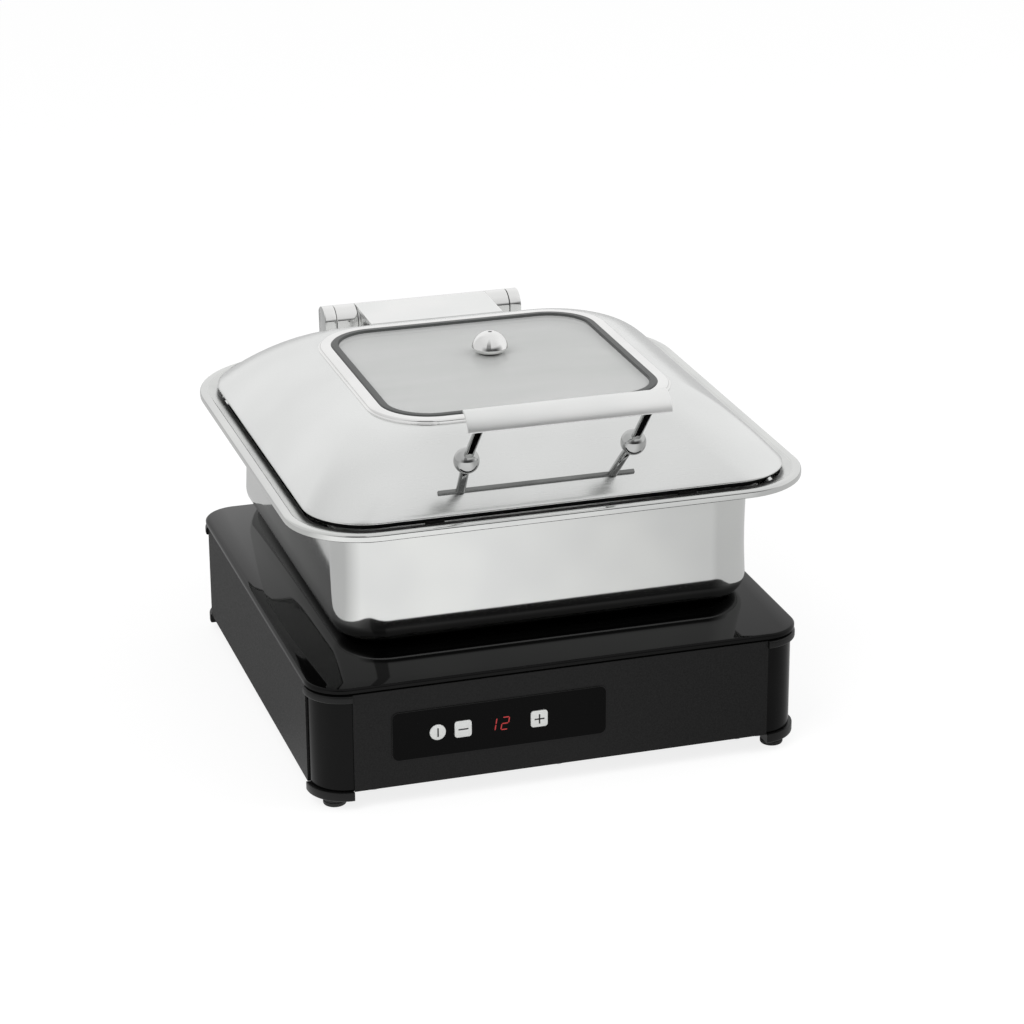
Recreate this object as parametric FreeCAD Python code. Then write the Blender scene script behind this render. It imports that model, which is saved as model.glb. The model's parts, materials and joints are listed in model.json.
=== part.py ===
import FreeCAD, Part
import math
import os

# Induction food warmer: a low black induction base with a glass-ceramic top, and on it a steel
# two-thirds gastronorm chafing dish with a hinged, domed lid that has a window, a knob and a grip.
# Millimetres. The origin is on the floor under the middle of the base, +X is to the right, +Y is to
# the rear and +Z is up.

V = FreeCAD.Vector
X_AXIS = V(1, 0, 0)
Y_AXIS = V(0, 1, 0)
Z_AXIS = V(0, 0, 1)

# ---- base: overall ----
base_width = 370.0
base_depth = 380.0
glass_top_z = 95.0
glass_thickness = 4.0
glass_corner = 28.0
glass_bevel = 1.2
panel_setback = 1.0
panel_thickness = 2.0
panel_bottom_z = 14.7
seal_height = 1.5
seal_setback = 3.5
seal_width = 9.0
fit_gap = 0.2

# ---- base: corner posts, caps, shoes and feet ----
post_radius = 26.0
post_wall = 3.0
post_setback = 1.5
post_spine_radius = 5.0
cap_overhang = 3.2
cap_height = 6.0
cap_round = 1.5
shoe_overhang = 2.7
foot_radius = 8.5
foot_height = 7.6
foot_inset = 15.0
foot_round = 1.5

# ---- base: floor plate, vents and screws ----
floor_thickness = 1.5
vent_count = 7
vent_width = 4.0
vent_pitch = 9.0
vent_length = 62.0
rear_vent_count = 12
rear_vent_width = 4.0
rear_vent_pitch = 9.0
rear_vent_height = 30.0
rear_vent_z = 50.0
rear_vent_x = 60.0
screw_head_radius = 3.6
screw_head_height = 2.0
screw_shank_radius = 1.6
screw_length = 6.0
screw_edge = 4.0
floor_screw_left_inset = 15.5
floor_screw_right_inset = 21.5
floor_screw_pair = 16.0
gland_x = -120.0
gland_z = 36.0
gland_radius = 7.0
gland_bore_radius = 4.2
gland_flange_radius = 11.0
gland_flange_height = 4.0
gland_nose = 11.0

# ---- base: control foil, keys and display ----
foil_left_x = -128.4
foil_right_x = 31.6
foil_bottom_z = 34.2
foil_height = 37.5
foil_corner = 5.0
foil_thickness = 0.5
key_z = 52.8
power_key_x = -94.8
minus_key_x = -76.0
plus_key_x = -19.2
power_key_radius = 5.9
square_key = 12.6
square_key_corner = 2.2
key_proud = 0.8
key_gap = 0.35
key_travel = 0.6
key_head_depth = 3.0
key_stem_radius = 1.8
key_stem_length = 6.5
display_x = -46.1
display_window_width = 24.0
display_window_height = 14.0
display_depth = 6.0
board_thickness = 1.6
control_board_height = 34.0
control_board_margin = 6.0
switch_height = 1.5
switch_size = 6.0

# ---- base: induction coil and electronics ----
coil_outer_radius = 104.0
coil_inner_radius = 24.0
coil_height = 4.0
coil_under_glass = 2.0
carrier_height = 3.0
carrier_margin = 4.0
ferrite_count = 8
ferrite_length = 62.0
ferrite_width = 14.0
ferrite_height = 5.0
sensor_radius = 6.0
post_leg_radius = 4.0
coil_leg_circle = 90.0
fan_x = 95.0
fan_y = 105.0
fan_size = 80.0
fan_height = 25.0
fan_wall = 2.5
fan_hub_radius = 14.0
fan_tip_gap = 1.5
fan_blade_count = 7
fan_blade_thickness = 1.6
fan_blade_pitch = 35.0
fan_axle_radius = 2.0
axle_gap = 0.05
power_board_x = -52.0
power_board_y = 20.0
power_board_width = 180.0
power_board_depth = 150.0
power_board_z = 26.0
standoff_radius = 3.0
standoff_inset = 8.0
sink_width = 60.0
sink_depth = 90.0
sink_base = 5.0
sink_height = 30.0
fin_count = 8
fin_thickness = 1.6
capacitor_radius = 12.0
capacitor_height = 28.0
choke_radius = 15.0
choke_hole_radius = 7.0
choke_height = 14.0
choke_edge = 20.0
choke_side = 60.0
filter_width = 48.0
filter_depth = 34.0
filter_height = 24.0

# ---- dish: place and pan ----
dish_x = 12.5
dish_y = 44.0
dish_wall = 0.9
tub_side_room = 9.5
tub_end_room = 8.6
dish_corner = 39.0
dish_draft = 3.0
dish_bottom_round = 16.0
ledge_height = 92.0
flange_height = 103.2
well_side_room = 23.3
well_end_room = 22.0
well_corner = 49.0
well_rear_corner = 75.0
well_lead = 4.2
well_lead_drop = 2.4
rim_corner = 58.0
rim_rear_corner = 84.0
rim_round = 2.2
rim_skirt = 6.0
flange_side = 9.6
flange_end = 9.0

# ---- food pan (gastronorm 2/3) ----
pan_flange_x = 325.0
pan_flange_y = 354.0
pan_flange_corner = 24.0
pan_flange_width = 12.0
pan_corner = 42.0
pan_depth = 65.0
pan_draft = 6.0
pan_bottom_round = 14.0
pan_wall = 0.8
pan_rest_gap = 0.3

# ---- lid ----
lid_side_gap = 2.2
lid_end_gap = 2.4
lid_lift = 8.8
lid_wall = 1.0
lid_lip = 6.0
dome_height = 45.5
dome_power = 1.6
lid_corner = 47.0
lid_rear_corner = 73.0
crown_corner = 50.0
frame_border = 10.2
frame_height = 3.2
frame_round = 2.0
window_half_x = 106.2
window_half_y = 107.7
window_corner = 38.0
window_offset_y = -16.4
window_seal_width = 6.0
window_seal_proud = 0.6
window_seal_depth = 3.4
glass_pane_thickness = 4.0
glass_pane_grip = 3.0
bumper_length = 14.0
bumper_width = 3.4
bumper_x = 95.0
bumper_y = 88.0

# ---- knob ----
knob_x = 6.5
knob_y = 8.5
knob_radius = 13.3
knob_height = 15.5
knob_foot_radius = 9.5
knob_rise = 1.0
knob_waist = 4.2
knob_bore_radius = 3.4
knob_stem_radius = 3.35
vent_radius = 1.6
washer_radius = 8.5
nut_radius = 6.5
nut_height = 4.0

# ---- lid grip ----
grip_x = -17.6
grip_length = 147.0
grip_radius = 17.0
grip_half_angle = 34.0
grip_thickness = 2.0
arm_lean = 47.0
arm_foot_inset = 11.6
arm_foot_margin = 16.5
arm_ball_margin = 12.1
arm_ball_reach = 47.4
arm_top_reach = 107.7
arm_width = 7.0
arm_depth = 5.0
arm_round = 2.4
ball_radius = 9.3
bar_thickness = 2.0
bar_width = 5.0
grip_screw_radius = 1.5
grip_screw_head_radius = 3.6
grip_screw_head_height = 2.4
grip_screw_length = 9.0

# ---- lid hinge ----
barrel_radius = 13.0
hinge_offset = 3.6
barrel_setback = 10.4
barrel_above_lip = 29.3
lid_knuckle_half = 55.0
dish_knuckle_length = 17.5
end_cap_length = 9.5
barrel_gap = 0.5
pin_radius = 4.0
pin_gap = 0.05
pin_cover = 4.0
brake_radius = 8.0
brake_length = 12.0
stand_thickness = 5.0
stand_foot_height = 2.5
stand_foot_depth = 7.0
stand_inset = 1.2
plate_thickness = 2.5
plate_run = 52.0
plate_drop = 1.5
cheek_spread = 51.0
cheek_thickness = 3.0

# ---- derived: base ----
half_width = base_width / 2
half_depth = base_depth / 2
glass_bottom_z = glass_top_z - glass_thickness
panel_top_z = glass_bottom_z - seal_height
panel_x = half_width - panel_setback
panel_y = half_depth - panel_setback
post_x = panel_x - post_setback - post_radius
post_y = panel_y - post_setback - post_radius
cap_bottom_z = panel_top_z - cap_height + fit_gap
post_bottom_z = panel_bottom_z + fit_gap
shoe_bottom_z = foot_height
floor_top_z = panel_bottom_z + floor_thickness
floor_half_x = panel_x - panel_thickness
floor_half_y = panel_y - panel_thickness
corners = ((-1, -1), (1, -1), (1, 1), (-1, 1))

# ---- derived: dish and lid ----
pan_half_x = pan_flange_x / 2
pan_half_y = pan_flange_y / 2
dish_half_x = pan_half_x - pan_flange_width + tub_side_room
dish_half_y = pan_half_y - pan_flange_width + tub_end_room
well_half_x = pan_half_x + well_side_room
well_half_y = pan_half_y + well_end_room
rim_half_x = well_half_x + flange_side
rim_half_y = well_half_y + flange_end
dish_z = glass_top_z
ledge_z = dish_z + ledge_height
flange_z = dish_z + flange_height
lid_z = ledge_z + lid_lift
dome_z = lid_z + lid_lip
crown_z = dome_z + dome_height
lid_half_x = well_half_x - lid_side_gap
lid_half_y = well_half_y - lid_end_gap
crown_half_x = window_half_x + frame_border
crown_half_y = window_half_y + frame_border
frame_top_z = crown_z + frame_height
pane_top_z = frame_top_z - 1.2
pane_bottom_z = pane_top_z - glass_pane_thickness
barrel_z = lid_z + barrel_above_lip
arm_foot_spread = grip_length / 2 - arm_foot_margin
arm_ball_spread = grip_length / 2 - arm_ball_margin
window_centre = (dish_x, dish_y + window_offset_y)
dish_centre = (dish_x, dish_y)

os.makedirs("parts", exist_ok=True)


def save(name, shape):
    """Write one finished piece, or one group of like pieces, under its name."""
    shape.exportStep("parts/" + name + ".step")
    print(name, len(shape.Solids), round(shape.Volume))


def block(x0, x1, y0, y1, z0, z1):
    """A box between two corners."""
    return Part.makeBox(x1 - x0, y1 - y0, z1 - z0, V(x0, y0, z0))


def rod(radius, start, axis, length):
    """A round bar from a start point along an axis."""
    return Part.makeCylinder(radius, length, start, axis)


def tube(outer, inner, start, axis, length):
    """A round bar with a bore right through it."""
    return rod(outer, start, axis, length).cut(rod(inner, start, axis, length))


def plan_wire(half_x, half_y, corner, z, centre=(0.0, 0.0), rear_corner=None):
    """A level rectangle with rounded corners, as a closed wire; its rear corners can have their own radius."""
    cx, cy = centre
    edges = []
    for sx, sy in ((1, 1), (-1, 1), (-1, -1), (1, -1)):
        radius = rear_corner if sy > 0 and rear_corner else corner
        dx = half_x - radius
        dy = half_y - radius
        diagonal = radius * math.sqrt(0.5)
        mid = V(cx + sx * (dx + diagonal), cy + sy * (dy + diagonal), z)
        on_x = V(cx + sx * half_x, cy + sy * dy, z)
        on_y = V(cx + sx * dx, cy + sy * half_y, z)
        start, end = (on_x, on_y) if sx * sy > 0 else (on_y, on_x)
        if edges:
            edges.append(Part.LineSegment(edges[-1].EndPoint, start))
        edges.append(Part.Arc(start, mid, end))
    edges.append(Part.LineSegment(edges[-1].EndPoint, edges[0].StartPoint))
    return Part.Wire([edge.toShape() for edge in edges])


def prism(half_x, half_y, corner, z0, z1, centre=(0.0, 0.0), rear_corner=None):
    """An upright block with rounded corners."""
    wire = plan_wire(half_x, half_y, corner, z0, centre, rear_corner)
    return Part.Face(wire).extrude(V(0, 0, z1 - z0))


def ring_prism(half_x, half_y, corner, width, z0, z1, centre=(0.0, 0.0)):
    """An upright frame of even width that follows a rounded rectangle."""
    outer = prism(half_x, half_y, corner, z0, z1, centre)
    inner = prism(half_x - width, half_y - width, corner - width, z0, z1, centre)
    return outer.cut(inner)


def level_edges(shape, z):
    """The edges of a shape that lie level at a height."""
    found = []
    for edge in shape.Edges:
        box = edge.BoundBox
        if abs(box.ZMin - z) < 1e-4 and abs(box.ZMax - z) < 1e-4:
            found.append(edge)
    return found


def polygon_x(points, x0, x1):
    """A solid with an outline of (y, z) points, from x0 to x1."""
    corner_points = [V(x0, y, z) for y, z in points]
    wire = Part.makePolygon(corner_points + corner_points[:1])
    return Part.Face(wire).extrude(V(x1 - x0, 0, 0))


def quarter_sector(radius, z0, z1, sx, sy):
    """A quarter disc on a base corner, with its two straight sides on the post's centre lines."""
    disc = rod(radius, V(sx * post_x, sy * post_y, z0), Z_AXIS, z1 - z0)
    reach = radius + 1
    xs = sorted((sx * post_x, sx * (post_x + reach)))
    ys = sorted((sy * post_y, sy * (post_y + reach)))
    return disc.common(block(xs[0], xs[1], ys[0], ys[1], z0, z1))


def drafted_tub(half_x, half_y, corner, draft, bottom_round, z0, z1, centre):
    """A tub's outside: straight sides that lean in towards a rounded bottom."""
    top = plan_wire(half_x, half_y, corner, z1, centre)
    bottom = plan_wire(half_x - draft, half_y - draft, corner - draft, z0, centre)
    solid = Part.makeLoft([bottom, top], True, True)
    return solid.makeFillet(bottom_round, level_edges(solid, z0))


# ---------------------------------------------------------------- base: case
def front_panel_solid():
    """The front sheet, with holes for the keys and the display."""
    half = post_x - fit_gap
    sheet = block(-half, half, -panel_y, -panel_y + panel_thickness, panel_bottom_z, panel_top_z)
    start_y = -panel_y - 1
    depth = panel_thickness + 2
    sheet = sheet.cut(rod(power_key_radius + key_gap, V(power_key_x, start_y, key_z), Y_AXIS, depth))
    for x in (minus_key_x, plus_key_x):
        sheet = sheet.cut(key_square(x, square_key / 2 + key_gap, start_y, depth))
    half_w = display_window_width / 2
    half_h = display_window_height / 2
    return sheet.cut(block(display_x - half_w, display_x + half_w, start_y, start_y + depth,
                           key_z - half_h, key_z + half_h))


def key_square(x, half, start_y, depth):
    """A square key's outline with rounded corners, as a block along Y."""
    upright = prism(half, half, square_key_corner, 0, depth)
    upright.rotate(V(0, 0, 0), X_AXIS, -90)
    upright.translate(V(x, start_y, key_z))
    return upright


def rear_panel_solid():
    """The rear sheet, with air slots and the cable gland's hole."""
    half = post_x - fit_gap
    sheet = block(-half, half, panel_y - panel_thickness, panel_y, panel_bottom_z, panel_top_z)
    for i in range(rear_vent_count):
        x = rear_vent_x + (i - (rear_vent_count - 1) / 2) * rear_vent_pitch
        slot = block(x - rear_vent_width / 2, x + rear_vent_width / 2, panel_y - panel_thickness - 1,
                     panel_y + 1, rear_vent_z - rear_vent_height / 2, rear_vent_z + rear_vent_height / 2)
        sheet = sheet.cut(slot)
    hole = rod(gland_radius + fit_gap, V(gland_x, panel_y - panel_thickness - 1, gland_z), Y_AXIS,
               panel_thickness + 2)
    return sheet.cut(hole)


def side_panel_solid(side):
    """A plain side sheet between two corner posts."""
    half = post_y - fit_gap
    xs = sorted((side * panel_x, side * (panel_x - panel_thickness)))
    return block(xs[0], xs[1], -half, half, panel_bottom_z, panel_top_z)


def post_solid(sx, sy):
    """A quarter-round corner post: a curved skin with a round spine that takes the screws."""
    z0 = post_bottom_z
    z1 = cap_bottom_z - fit_gap
    skin = quarter_sector(post_radius, z0, z1, sx, sy).cut(
        rod(post_radius - post_wall, V(sx * post_x, sy * post_y, z0), Z_AXIS, z1 - z0))
    middle = (post_radius - post_wall - post_spine_radius / 2) * math.sqrt(0.5)
    spine = rod(post_spine_radius, V(sx * (post_x + middle), sy * (post_y + middle), z0), Z_AXIS, z1 - z0)
    return skin.fuse(spine.common(rod(post_radius - post_wall / 2, V(sx * post_x, sy * post_y, z0),
                                      Z_AXIS, z1 - z0))).removeSplitter()


def cap_solid(sx, sy):
    """The dark collar on top of a post, standing out a little past the post."""
    radius = post_radius + cap_overhang
    piece = quarter_sector(radius, cap_bottom_z, panel_top_z, sx, sy)
    outer = [edge for edge in level_edges(piece, panel_top_z) + level_edges(piece, cap_bottom_z)
             if isinstance(edge.Curve, Part.Circle)]
    return piece.makeFillet(cap_round, outer)


def shoe_solid(sx, sy):
    """The dark shoe under a post, standing out a little past it."""
    radius = post_radius + shoe_overhang
    piece = quarter_sector(radius, shoe_bottom_z, panel_bottom_z, sx, sy)
    outer = [edge for edge in level_edges(piece, shoe_bottom_z) if isinstance(edge.Curve, Part.Circle)]
    return piece.makeFillet(cap_round, outer)


def foot_solid(sx, sy):
    """A round rubber foot under a shoe."""
    inset = foot_inset * math.sqrt(0.5)
    start = V(sx * (post_x + inset), sy * (post_y + inset), 0)
    piece = rod(foot_radius, start, Z_AXIS, foot_height)
    return piece.makeFillet(foot_round, level_edges(piece, 0.0))


def floor_plate_solid():
    """The floor sheet between the panels, cut back at the posts, with slots under the fan."""
    sheet = block(-floor_half_x, floor_half_x, -floor_half_y, floor_half_y, panel_bottom_z, floor_top_z)
    for sx, sy in corners:
        xs = sorted((sx * post_x, sx * half_width))
        ys = sorted((sy * post_y, sy * half_depth))
        sheet = sheet.cut(block(xs[0], xs[1], ys[0], ys[1], panel_bottom_z - 1, floor_top_z + 1))
    for i in range(vent_count):
        x = fan_x + (i - (vent_count - 1) / 2) * vent_pitch
        sheet = sheet.cut(block(x - vent_width / 2, x + vent_width / 2, fan_y - vent_length / 2,
                                fan_y + vent_length / 2, panel_bottom_z - 1, floor_top_z + 1))
    for x, y in floor_screw_places():
        sheet = sheet.cut(rod(screw_shank_radius + fit_gap, V(x, y, panel_bottom_z - 1), Z_AXIS,
                              floor_thickness + 2))
    return sheet


def floor_screw_places():
    """The floor screws stand in a row along the front edge and a row along the rear edge."""
    row_y = floor_half_y - screw_edge
    left_x = -post_x + floor_screw_left_inset
    right_x = post_x - floor_screw_right_inset
    row_x = (left_x, (left_x + right_x) / 2, right_x, right_x + floor_screw_pair)
    return [(x, y) for y in (-row_y, row_y) for x in row_x]


def floor_screws_group():
    """Pan-head screws up through the floor sheet."""
    screws = []
    for x, y in floor_screw_places():
        head = rod(screw_head_radius, V(x, y, panel_bottom_z - screw_head_height), Z_AXIS, screw_head_height)
        head = head.makeFillet(screw_head_height * 0.45, level_edges(head, panel_bottom_z - screw_head_height))
        shank = rod(screw_shank_radius, V(x, y, panel_bottom_z), Z_AXIS, screw_length)
        screws.append(head.fuse(shank).removeSplitter())
    return Part.makeCompound(screws)


def glass_solid():
    """The glass-ceramic plate with a small bevel round its top edge."""
    plate = prism(half_width, half_depth, glass_corner, glass_bottom_z, glass_top_z)
    return plate.makeChamfer(glass_bevel, level_edges(plate, glass_top_z))


def glass_seal_solid():
    """The dark seal between the panels' top edges and the glass, set back so that a shadow gap shows."""
    return ring_prism(half_width - seal_setback, half_depth - seal_setback, glass_corner - seal_setback,
                      seal_width, panel_top_z, glass_bottom_z)


def gland_solid():
    """The bushing in the rear panel that the mains cable would pass through."""
    flange_y = panel_y
    flange = rod(gland_flange_radius, V(gland_x, flange_y, gland_z), Y_AXIS, gland_flange_height)
    nose = rod(gland_radius, V(gland_x, flange_y - panel_thickness - gland_flange_height, gland_z), Y_AXIS,
               panel_thickness + gland_flange_height + gland_nose)
    bore = rod(gland_bore_radius, V(gland_x, flange_y - 30, gland_z), Y_AXIS, 60)
    return flange.fuse(nose).removeSplitter().cut(bore)


# ---------------------------------------------------------------- base: controls
def foil_solid():
    """The smooth label on the front panel, cut out for the three keys."""
    half_w = (foil_right_x - foil_left_x) / 2
    upright = prism(half_w, foil_height / 2, foil_corner, 0, foil_thickness)
    upright.rotate(V(0, 0, 0), X_AXIS, -90)
    upright.translate(V((foil_right_x + foil_left_x) / 2, -panel_y - foil_thickness,
                        foil_bottom_z + foil_height / 2))
    start_y = -panel_y - foil_thickness - 1
    depth = foil_thickness + 2
    upright = upright.cut(rod(power_key_radius + key_gap, V(power_key_x, start_y, key_z), Y_AXIS, depth))
    for x in (minus_key_x, plus_key_x):
        upright = upright.cut(key_square(x, square_key / 2 + key_gap, start_y, depth))
    return upright


def key_front_y():
    """The keys' faces stand a little proud of the label."""
    return -panel_y - foil_thickness - key_proud


def round_key_solid():
    """The round on/off key with the stem that presses its switch."""
    y = key_front_y()
    head = rod(power_key_radius, V(power_key_x, y, key_z), Y_AXIS, key_head_depth)
    stem = rod(key_stem_radius, V(power_key_x, y + key_head_depth, key_z), Y_AXIS, key_stem_length)
    return head.fuse(stem).removeSplitter()


def square_key_solid(x):
    """A square key with the stem that presses its switch."""
    y = key_front_y()
    head = key_square(x, square_key / 2, y, key_head_depth)
    stem = rod(key_stem_radius, V(x, y + key_head_depth, key_z), Y_AXIS, key_stem_length)
    return head.fuse(stem).removeSplitter()


def switch_front_y():
    """The switches stand just behind the pressed keys' stems."""
    return key_front_y() + key_head_depth + key_stem_length + key_travel + fit_gap


def control_board_solid():
    """The upright circuit board behind the front panel."""
    y = switch_front_y() + switch_height
    return block(foil_left_x + control_board_margin, foil_right_x - control_board_margin, y,
                 y + board_thickness, key_z - control_board_height / 2, key_z + control_board_height / 2)


def switches_group():
    """One push switch on the board behind each key."""
    y = switch_front_y()
    half = switch_size / 2
    blocks = [block(x - half, x + half, y, y + switch_height, key_z - half, key_z + half)
              for x in (power_key_x, minus_key_x, plus_key_x)]
    return Part.makeCompound(blocks)


def display_solid():
    """The two-digit display block behind its opening, on the control board."""
    y1 = switch_front_y() + switch_height
    y0 = y1 - display_depth
    half_w = display_window_width / 2 - fit_gap
    half_h = display_window_height / 2 - fit_gap
    return block(display_x - half_w, display_x + half_w, y0, y1, key_z - half_h, key_z + half_h)


# ---------------------------------------------------------------- base: heating
coil_top_z = glass_bottom_z - coil_under_glass
coil_bottom_z = coil_top_z - coil_height
carrier_bottom_z = coil_bottom_z - carrier_height


def coil_solid():
    """The flat copper winding, as the ring that it fills."""
    return tube(coil_outer_radius, coil_inner_radius, V(0, 0, coil_bottom_z), Z_AXIS, coil_height)


def carrier_solid():
    """The plastic disc that carries the coil, on four legs from the floor sheet."""
    disc = tube(coil_outer_radius + carrier_margin, sensor_radius + fit_gap, V(0, 0, carrier_bottom_z),
                Z_AXIS, carrier_height)
    for sx, sy in corners:
        x = sx * coil_leg_circle * math.sqrt(0.5) * 1.1
        y = sy * coil_leg_circle * math.sqrt(0.5) * 1.1
        if coil_leg_is_clear(x, y):
            disc = disc.fuse(rod(post_leg_radius, V(x, y, floor_top_z), Z_AXIS, carrier_bottom_z - floor_top_z))
    return disc.removeSplitter()


def coil_leg_is_clear(x, y):
    """The legs that would pass through the power board or the fan are left out."""
    on_board = (abs(x - power_board_x) < power_board_width / 2 + post_leg_radius + 1
                and abs(y - power_board_y) < power_board_depth / 2 + post_leg_radius + 1)
    on_fan = (abs(x - fan_x) < fan_size / 2 + post_leg_radius + 1
              and abs(y - fan_y) < fan_size / 2 + post_leg_radius + 1)
    return not on_board and not on_fan


def ferrites_group():
    """Ferrite bars in a star under the coil carrier."""
    bars = []
    start = coil_inner_radius + 6
    for i in range(ferrite_count):
        bar = block(start, start + ferrite_length, -ferrite_width / 2, ferrite_width / 2,
                    carrier_bottom_z - ferrite_height, carrier_bottom_z)
        bar.rotate(V(0, 0, 0), Z_AXIS, 360.0 * (i + 0.5) / ferrite_count)
        bars.append(bar)
    return Part.makeCompound(bars)


def sensor_solid():
    """The temperature sensor that stands in the coil's middle and touches the glass."""
    return rod(sensor_radius, V(0, 0, carrier_bottom_z), Z_AXIS, glass_bottom_z - carrier_bottom_z)


def fan_housing_solid():
    """The fan's square frame on the floor sheet, with a cross that holds its axle."""
    half = fan_size / 2
    frame = block(fan_x - half, fan_x + half, fan_y - half, fan_y + half, floor_top_z, floor_top_z + fan_height)
    frame = frame.cut(rod(half - fan_wall, V(fan_x, fan_y, floor_top_z - 1), Z_AXIS, fan_height + 2))
    arm = fan_wall
    top = floor_top_z + fan_height
    for dx, dy in ((half, arm), (arm, half)):
        frame = frame.fuse(block(fan_x - dx, fan_x + dx, fan_y - dy, fan_y + dy, top - fan_wall, top))
    axle_start = V(fan_x, fan_y, floor_top_z + 3)
    frame = frame.fuse(rod(fan_axle_radius, axle_start, Z_AXIS, fan_height - 3))
    return frame.removeSplitter()


def fan_rotor_solid():
    """The fan wheel: a hub on the axle with pitched blades."""
    z0 = floor_top_z + 3
    z1 = floor_top_z + fan_height - fan_wall - 1
    hub = rod(fan_hub_radius, V(fan_x, fan_y, z0), Z_AXIS, z1 - z0)
    tip = fan_size / 2 - fan_wall - fan_tip_gap
    rotor = hub
    for i in range(fan_blade_count):
        blade = block(fan_hub_radius - 2, tip, -fan_blade_thickness / 2, fan_blade_thickness / 2,
                      -(z1 - z0), z1 - z0)
        blade.rotate(V(0, 0, 0), X_AXIS, fan_blade_pitch)
        blade.rotate(V(0, 0, 0), Z_AXIS, 360.0 * i / fan_blade_count)
        blade.translate(V(fan_x, fan_y, (z0 + z1) / 2))
        rotor = rotor.fuse(blade)
    swept = rod(tip, V(fan_x, fan_y, z0), Z_AXIS, z1 - z0)
    bore = rod(fan_axle_radius + axle_gap, V(fan_x, fan_y, z0 - 1), Z_AXIS, z1 - z0 + 2)
    return rotor.common(swept).cut(bore).removeSplitter()


def power_board_solid():
    """The main circuit board on its standoffs."""
    half_w = power_board_width / 2
    half_d = power_board_depth / 2
    return block(power_board_x - half_w, power_board_x + half_w, power_board_y - half_d,
                 power_board_y + half_d, power_board_z, power_board_z + board_thickness)


def standoffs_group():
    """Round standoffs between the floor sheet and the main board."""
    dx = power_board_width / 2 - standoff_inset
    dy = power_board_depth / 2 - standoff_inset
    return Part.makeCompound([rod(standoff_radius, V(power_board_x + sx * dx, power_board_y + sy * dy, floor_top_z),
                                  Z_AXIS, power_board_z - floor_top_z) for sx, sy in corners])


board_top_z = power_board_z + board_thickness


def heat_sink_solid():
    """The finned aluminium heat sink on the board's right half, with fins along Y."""
    x1 = power_board_x + power_board_width / 2 - 4
    x0 = x1 - sink_width
    y0 = power_board_y - sink_depth / 2
    sink = block(x0, x1, y0, y0 + sink_depth, board_top_z, board_top_z + sink_base)
    pitch = (sink_width - fin_thickness) / (fin_count - 1)
    for i in range(fin_count):
        x = x0 + i * pitch
        sink = sink.fuse(block(x, x + fin_thickness, y0, y0 + sink_depth, board_top_z + sink_base,
                               board_top_z + sink_height))
    return sink.removeSplitter()


def capacitors_group():
    """Two tall capacitors on the board's left half."""
    x = power_board_x - power_board_width / 2 + capacitor_radius + 16
    gap = capacitor_radius * 2 + 6
    return Part.makeCompound([rod(capacitor_radius, V(x, power_board_y + (i - 0.5) * gap, board_top_z), Z_AXIS,
                                  capacitor_height) for i in range(2)])


def choke_solid():
    """The wound ring of the filter choke."""
    x = power_board_x - power_board_width / 2 + choke_side + choke_radius
    y = power_board_y - power_board_depth / 2 + choke_edge + choke_radius
    return tube(choke_radius, choke_hole_radius, V(x, y, board_top_z), Z_AXIS, choke_height)


def mains_filter_solid():
    """The mains filter box on the floor sheet, behind the cable gland."""
    y1 = floor_half_y - 14
    return block(gland_x - filter_width / 2, gland_x + filter_width / 2, y1 - filter_depth, y1, floor_top_z,
                 floor_top_z + filter_height)


# ---------------------------------------------------------------- dish
def rim_prism(inward, z0, z1):
    """An upright block with the rim's outline, moved inwards by a wall."""
    return prism(rim_half_x - inward, rim_half_y - inward, rim_corner - inward, z0, z1, dish_centre,
                 rim_rear_corner - inward)


def well_wire(outward, z):
    """The lid's well in outline at a height, moved outwards by a wall or a slope."""
    return plan_wire(well_half_x + outward, well_half_y + outward, well_corner + outward, z, dish_centre,
                     well_rear_corner + outward)


def well_block(outward, z0, z1, top_outward=None):
    """A block with the well's outline, which widens to its top if a second outline is given."""
    upper = outward if top_outward is None else top_outward
    return Part.makeLoft([well_wire(outward, z0), well_wire(upper, z1)], True, True)


def dish_solid():
    """The deep-drawn water pan: tub, ledge for the food pan, well for the lid, sloped lead and rolled rim."""
    c = dish_centre
    t = dish_wall
    lead_z = flange_z - well_lead_drop
    slope = well_lead / well_lead_drop
    rim = rim_prism(0, flange_z - rim_skirt, flange_z)
    rim = rim.makeFillet(rim_round, level_edges(rim, flange_z))
    hollow = rim_prism(t, flange_z - rim_skirt - 1, flange_z - t)
    hollow = hollow.makeFillet(rim_round - t, level_edges(hollow, flange_z - t))
    rim = rim.cut(hollow)
    well = well_block(t, ledge_z - t, lead_z - t / 2)
    lead = well_block(t, lead_z - t / 2, flange_z - t / 2, t + well_lead)
    tub = drafted_tub(dish_half_x, dish_half_y, dish_corner, dish_draft, dish_bottom_round, dish_z,
                      ledge_z - t / 2, c)
    outside = rim.fuse(well).fuse(lead).fuse(tub)
    well_space = well_block(0, ledge_z, lead_z)
    lead_space = well_block(0, lead_z, flange_z + 1, well_lead + slope)
    tub_space = drafted_tub(dish_half_x - t, dish_half_y - t, dish_corner - t, dish_draft,
                            dish_bottom_round - t, dish_z + t, ledge_z + 1, c)
    return outside.cut(well_space).cut(lead_space).cut(tub_space).removeSplitter()


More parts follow.
